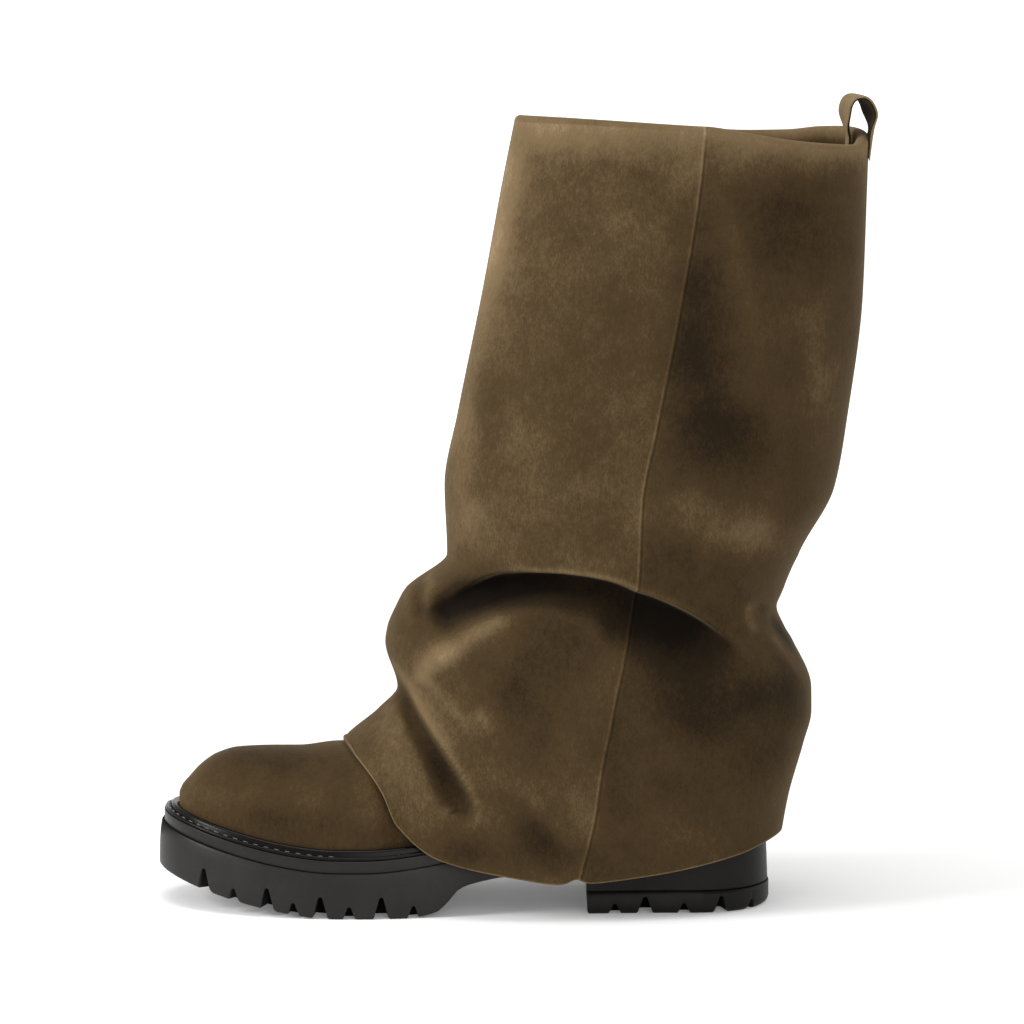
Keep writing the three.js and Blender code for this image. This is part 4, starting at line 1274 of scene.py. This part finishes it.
def sew(name, path, pitch, length, thread, material, tree):
    """A row of stitches along a path in millimetres, as one plain mesh."""
    world = (np.asarray(path, float) + (HEEL_BACK, 0, 0)) * MM
    curve = bpy.data.curves.new(name, "CURVE")
    curve.dimensions = "3D"
    spline = curve.splines.new("POLY")
    spline.points.add(len(world) - 1)
    spline.points.foreach_set("co", np.concatenate([world, np.ones((len(world), 1))], 1).ravel())
    guide = bpy.data.objects.new(name + "_guide", curve)
    bpy.context.scene.collection.objects.link(guide)
    rule = guide.modifiers.new("stitches", "NODES")
    rule.node_group = tree
    wanted = {"Pitch": pitch * MM, "Length": length * MM / 2, "Thread": thread * MM / 2}
    wanted["Finish"] = material
    for item in tree.interface.items_tree:
        if item.in_out == "INPUT" and item.name in wanted:
            rule[item.identifier] = wanted[item.name]
    graph = bpy.context.evaluated_depsgraph_get()
    mesh = bpy.data.meshes.new_from_object(guide.evaluated_get(graph))
    bpy.data.objects.remove(guide)
    obj = bpy.data.objects.new(name, mesh)
    bpy.context.scene.collection.objects.link(obj)
    mesh.polygons.foreach_set("use_smooth", [True] * len(mesh.polygons))
    return obj


def build_welt_stitches(material, tree):
    inset = mix(WELT_RIM, SHELF_INSET - BEAD_WIDTH, STITCH_PLACE)
    shares = stations(0, 1, SOLE_STATIONS)
    shares = shares[shares > STITCHED_FROM]
    path = layer_points(shares, [(inset, lambda x: sole_top(x) + GAP + WELT_THICKNESS - STITCH_SINK)])[0]
    return sew("welt_stitches", path, STITCH_PITCH, STITCH_LENGTH, WELT_THREAD, material, tree)


# Shader maths
class Shade:
    """A shader socket that can be used in Python expressions."""

    def __init__(self, tree, socket):
        self.tree, self.socket = tree, socket

    def node(self, kind, settings=None, inputs=None, output=0):
        made = self.tree.nodes.new(kind)
        for key, value in (settings or {}).items():
            setattr(made, key, value)
        for key, value in (inputs or {}).items():
            if isinstance(value, Shade):
                self.tree.links.new(value.socket, made.inputs[key])
            else:
                made.inputs[key].default_value = value
        return Shade(self.tree, made.outputs[output])

    def maths(self, operation, a, b=0.0):
        return self.node("ShaderNodeMath", {"operation": operation}, {0: a, 1: b})

    def __add__(self, other):
        return self.maths("ADD", self, other)

    def __sub__(self, other):
        return self.maths("SUBTRACT", self, other)

    def __mul__(self, other):
        return self.maths("MULTIPLY", self, other)

    def __truediv__(self, other):
        return self.maths("DIVIDE", self, other)

    def absolute(self):
        return self.maths("ABSOLUTE", self)

    def step(self, low, high, first=0.0, last=1.0):
        """Goes smoothly from first to last as this goes from low to high."""
        ends = {"From Min": low, "From Max": high, "To Min": first, "To Max": last}
        kind = {"interpolation_type": "SMOOTHSTEP"}
        return self.node("ShaderNodeMapRange", kind, {"Value": self, **ends})

    def bell(self, centre, width):
        """1 at the centre and falling smoothly to 0 a width away."""
        return ((self - centre).absolute() / width).step(0.0, 1.0, 1.0, 0.0)

    def blend(self, a, b):
        """Colour a where this is 0 and colour b where it is 1."""
        made = self.tree.nodes.new("ShaderNodeMix")
        made.data_type = "RGBA"
        made.clamp_factor = True
        self.tree.links.new(self.socket, made.inputs["Factor"])
        for key, value in (("A", a), ("B", b)):
            socket = next(s for s in made.inputs if s.name == key and s.type == "RGBA")
            if isinstance(value, Shade):
                self.tree.links.new(value.socket, socket)
            else:
                socket.default_value = value
        return Shade(self.tree, next(s for s in made.outputs if s.type == "RGBA"))


class Finish:
    """A Principled material under construction."""

    def __init__(self, name, **constants):
        self.material = bpy.data.materials.new(name)
        self.material.use_nodes = True
        self.tree = self.material.node_tree
        self.shader = next(n for n in self.tree.nodes if n.type == "BSDF_PRINCIPLED")
        for key, value in constants.items():
            self.shader.inputs[key.replace("_", " ")].default_value = value
        self.place = self.node("ShaderNodeTexCoord", output="Object")

    def node(self, kind, settings=None, inputs=None, output=0):
        return Shade(self.tree, None).node(kind, settings, inputs, output)

    def noise(self, scale, detail=3.0, rough=0.5, stretch=(1, 1, 1), seed=(0, 0, 0)):
        move = {"Location": seed, "Scale": stretch}
        spot = self.node("ShaderNodeMapping", {}, {"Vector": self.place, **move})
        grain = {"Scale": scale, "Detail": detail, "Roughness": rough}
        return self.node("ShaderNodeTexNoise", {}, {"Vector": spot, **grain})

    def attribute(self, name):
        return self.node("ShaderNodeAttribute", {"attribute_name": name}, output="Fac")

    def feed(self, **inputs):
        for key, value in inputs.items():
            self.tree.links.new(value.socket, self.shader.inputs[key.replace("_", " ")])

    def bump(self, height, strength, distance):
        sizes = {"Strength": strength, "Distance": distance}
        self.feed(Normal=self.node("ShaderNodeBump", {}, {"Height": height, **sizes}))


# The darkest colour of the suede, reached where the painted shade under the folds is deepest
SUEDE_DEEP = (0.0035, 0.0021, 0.0011, 1)
# From which tone on and up to which the suede's colour goes over to the next lighter one
SUEDE_TONES = [
    (-0.3, 0.1, (0.0155, 0.0096, 0.0043, 1)),
    (0.05, 0.52, (0.049, 0.0305, 0.0128, 1)),
    (0.44, 0.95, (0.14, 0.095, 0.048, 1)),
    (0.9, 1.4, (0.36, 0.26, 0.15, 1)),
]


def suede(name, kind, light=0.0):
    """Brushed suede: a soft mottled nap, with painted highlights on ridges and edges and painted shade in
    hollows. kind is shaft, upper or loop.
    """
    f = Finish(name, Roughness=0.92, Sheen_Weight=0.16, Sheen_Roughness=0.45, Specular_IOR_Level=0.06)
    f.shader.inputs["Sheen Tint"].default_value = (0.75, 0.56, 0.34, 1)
    cloud = f.noise(17, 4, 0.55)
    patch = f.noise(46, 4, 0.6, seed=(3.1, 0.4, 1.7))
    nap = f.noise(420, 4, 0.7, stretch=(1, 1, 0.6), seed=(0.7, 2.2, 5.1))
    fibre = f.noise(1500, 2, 0.6, stretch=(1, 1, 0.45))
    mottle = (cloud - 0.5) * 0.34 + (patch - 0.5) * 0.36
    tone = mottle + (nap - 0.5) * 0.34 + (fibre - 0.5) * 0.3 + (0.54 + light)
    if kind == "loop":
        # Painted shade on the strap's inner faces
        tone = tone - f.attribute("loop_inner_shade") * 1.3
    else:
        tone = tone + f.attribute("tone")
    if kind == "shaft":
        seam = f.attribute("seam")
        # At the side seam: a painted highlight on its ridge, painted shade in the groove behind it, and the
        # panel behind the seam a little darker
        tone = tone + seam.bell(-0.4, 1.0) * 0.15 - seam.bell(0.9, 0.9) * 0.12 - seam.step(-1, 3) * 0.14
        # Painted highlights along the rolled rim and the cut hem
        tone = tone + f.attribute("rim") * 0.3 + f.attribute("hem").bell(0.0, 1.1) * 0.45
    colour = SUEDE_DEEP
    for low, high, lighter in SUEDE_TONES:
        colour = tone.step(low, high).blend(colour, lighter)
    f.feed(Base_Color=colour)
    f.bump(nap * 0.6 + fibre * 0.4, 0.4, 0.0006)
    return f.material


def rubber(name, rough, tint, shine, scuff=0.1, bumps=0.12):
    f = Finish(name, Specular_IOR_Level=shine)
    cloud = f.noise(35, 4, 0.6)
    grain = f.noise(900, 3, 0.6)
    dust = (cloud - 0.5) * 0.8 + (grain - 0.5) * 0.4 + 0.5
    pale = tuple(c * 1.7 + 0.003 for c in tint)
    colour = dust.step(0.3, 0.9).blend((*tint, 1), (*pale, 1))
    # Deep inside the notches the colour is painted near black, as their shade
    f.feed(Base_Color=f.attribute("inward").step(1.2, 2.6).blend(colour, (0.0008, 0.0008, 0.0008, 1)))
    worn = (cloud - 0.5) * scuff + (grain - 0.5) * scuff
    f.feed(Roughness=worn + f.attribute("inward").step(1.6, 4) * 0.4 + rough)
    f.bump(grain, bumps, 0.0002)
    return f.material


def footbed(name):
    f = Finish(name, Roughness=0.6)
    cloud = f.noise(30, 3)
    grain = f.node("ShaderNodeTexVoronoi", {"feature": "F1"}, {"Vector": f.place, "Scale": 900.0})
    f.feed(Base_Color=cloud.step(0.3, 0.75).blend((0.16, 0.1, 0.055, 1), (0.27, 0.18, 0.1, 1)))
    f.bump(grain, 0.2, 0.0003)
    return f.material


def thread(name, colour):
    f = Finish(name, Roughness=0.7, Sheen_Weight=0.2)
    twist = f.noise(1800, 2)
    dark = tuple(c * 0.6 for c in colour)
    f.feed(Base_Color=twist.step(0.35, 0.65).blend((*dark, 1), (*colour, 1)))
    return f.material


# Stage
STAGE = {"front": -3.0, "near": 1.0, "depth": 6.5, "height": 3.0, "corner": 0.8, "half_width": 4.0}
STAGE_GLOW = {"stage_near": 0.12, "stage_far": 0.5}


def pale(name, glow):
    f = Finish(name, Roughness=0.9, Specular_IOR_Level=0.1)
    f.shader.inputs["Base Color"].default_value = (0.93, 0.93, 0.93, 1)
    f.shader.inputs["Emission Color"].default_value = (1, 1, 1, 1)
    f.shader.inputs["Emission Strength"].default_value = glow
    return f.material


def build_stage():
    """A pale floor that sweeps up far behind the boot, beyond a camera that looks from there."""
    depth, radius = STAGE["depth"], STAGE["corner"]
    profile = [(STAGE["front"], 0.0), (STAGE["near"], 0.0), (depth - radius, 0.0)]
    for a in np.linspace(-math.pi / 2, 0, 13)[1:]:
        profile.append((depth - radius + radius * math.cos(a), radius + radius * math.sin(a)))
    profile.append((depth, STAGE["height"]))
    verts = [(side * STAGE["half_width"], y, z) for y, z in profile for side in (-1, 1)]
    faces = [(2 * i, 2 * i + 1, 2 * i + 3, 2 * i + 2) for i in range(len(profile) - 1)]
    mesh = bpy.data.meshes.new("stage_sweep")
    mesh.from_pydata(verts, [], faces)
    mesh.polygons.foreach_set("use_smooth", [True] * len(mesh.polygons))
    obj = bpy.data.objects.new("stage_sweep", mesh)
    bpy.context.scene.collection.objects.link(obj)
    for name, glow in STAGE_GLOW.items():
        mesh.materials.append(pale(name, glow))
    mesh.polygons.foreach_set("material_index", [int(i > 0) for i in range(len(mesh.polygons))])


def area_light(name, spot, target, size, watts):
    light = bpy.data.lights.new(name, "AREA")
    light.shape = "RECTANGLE"
    light.size, light.size_y = size
    light.energy = watts
    obj = bpy.data.objects.new(name, light)
    obj.location = spot
    obj.rotation_euler = (Vector(target) - Vector(spot)).to_track_quat("-Z", "Y").to_euler()
    bpy.context.scene.collection.objects.link(obj)


LIGHT_TARGET = (0, 0, 0.17)
LIGHTS = rows_of(("name", "spot", "size", "watts"), [
    ("key_light", (-2.0, -0.8, 1.1), (0.8, 1.0), 38),
    ("top_light", (-0.2, -0.2, 2.1), (1.4, 1.0), 15),
    ("front_light", (0.5, -2.3, 1.0), (1.4, 1.4), 14),
    ("rim_light", (1.7, 0.5, 0.9), (0.7, 1.2), 5),
])
WORLD_LIGHT = 0.6


def build_lights():
    for light in LIGHTS:
        area_light(target=LIGHT_TARGET, **light)
    world = bpy.data.worlds.new("studio")
    world.use_nodes = True
    background = world.node_tree.nodes["Background"]
    background.inputs["Color"].default_value = (1, 1, 1, 1)
    background.inputs["Strength"].default_value = WORLD_LIGHT
    bpy.context.scene.world = world
    bpy.context.scene.view_settings.view_transform = "Standard"


CAMERA_DISTANCE = 3.0
CAMERA_ELEVATION = math.radians(8)
CAMERA_TARGET = Vector((-0.0013, 0, 0.1868))
PIXELS_PER_METRE = 2103
PHOTO_WIDTH = 1024
SENSOR = 36


def build_camera():
    camera = bpy.data.cameras.new("camera")
    camera.sensor_width = SENSOR
    camera.lens = SENSOR * PIXELS_PER_METRE * CAMERA_DISTANCE / PHOTO_WIDTH
    camera.clip_end = 20
    obj = bpy.data.objects.new("camera", camera)
    back = Vector((0, -math.cos(CAMERA_ELEVATION), math.sin(CAMERA_ELEVATION)))
    obj.location = CAMERA_TARGET + back * CAMERA_DISTANCE
    obj.rotation_euler = (-back).to_track_quat("-Z", "Y").to_euler()
    bpy.context.scene.collection.objects.link(obj)
    bpy.context.scene.camera = obj


def build_boot():
    shaft_suede = suede("suede_shaft_finish", "shaft")
    upper_suede = suede("suede_upper_finish", "upper")
    loop_suede = suede("suede_loop_finish", "loop", 0.5)
    tread = rubber("tread_rubber", 0.46, (0.0115, 0.0103, 0.0092), 0.21)
    band = rubber("band_rubber", 0.36, (0.01, 0.009, 0.008), 0.22)
    # The heel's rubber is tinted darker than the tread's: painted shade under the shaft's hem
    heel = rubber("heel_rubber", 0.46, (0.006, 0.0054, 0.0048), 0.13)
    welt = rubber("welt_rubber", 0.26, (0.0026, 0.0022, 0.0018), 0.13, 0.03, 0.02)
    thread_dark = thread("welt_thread", (0.13, 0.125, 0.115))
    tree = stitch_tree()

    finish_piece(build_outsole(tread), "rubber", "outsole")
    finish_piece(build_midsole(band), "rubber", "midsole")
    finish_piece(build_heel_block(heel), "rubber", "heel_block")
    finish_piece(build_toplift(heel), "rubber", "heel_toplift")
    finish_piece(build_welt(welt), "welt_rubber", "welt")
    upper = finish_piece(build_upper(upper_suede), "suede", "upper")
    finish_piece(build_shaft(shaft_suede, upper), "suede", "shaft")
    finish_piece(build_loop(loop_suede), "suede", "pull_loop")
    finish_piece(build_welt_stitches(thread_dark, tree), "welt_rubber")
    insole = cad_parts["insole"]
    insole.data.materials.clear()
    insole.data.materials.append(footbed("footbed_leather"))


build_camera()
build_stage()
build_lights()
build_boot()
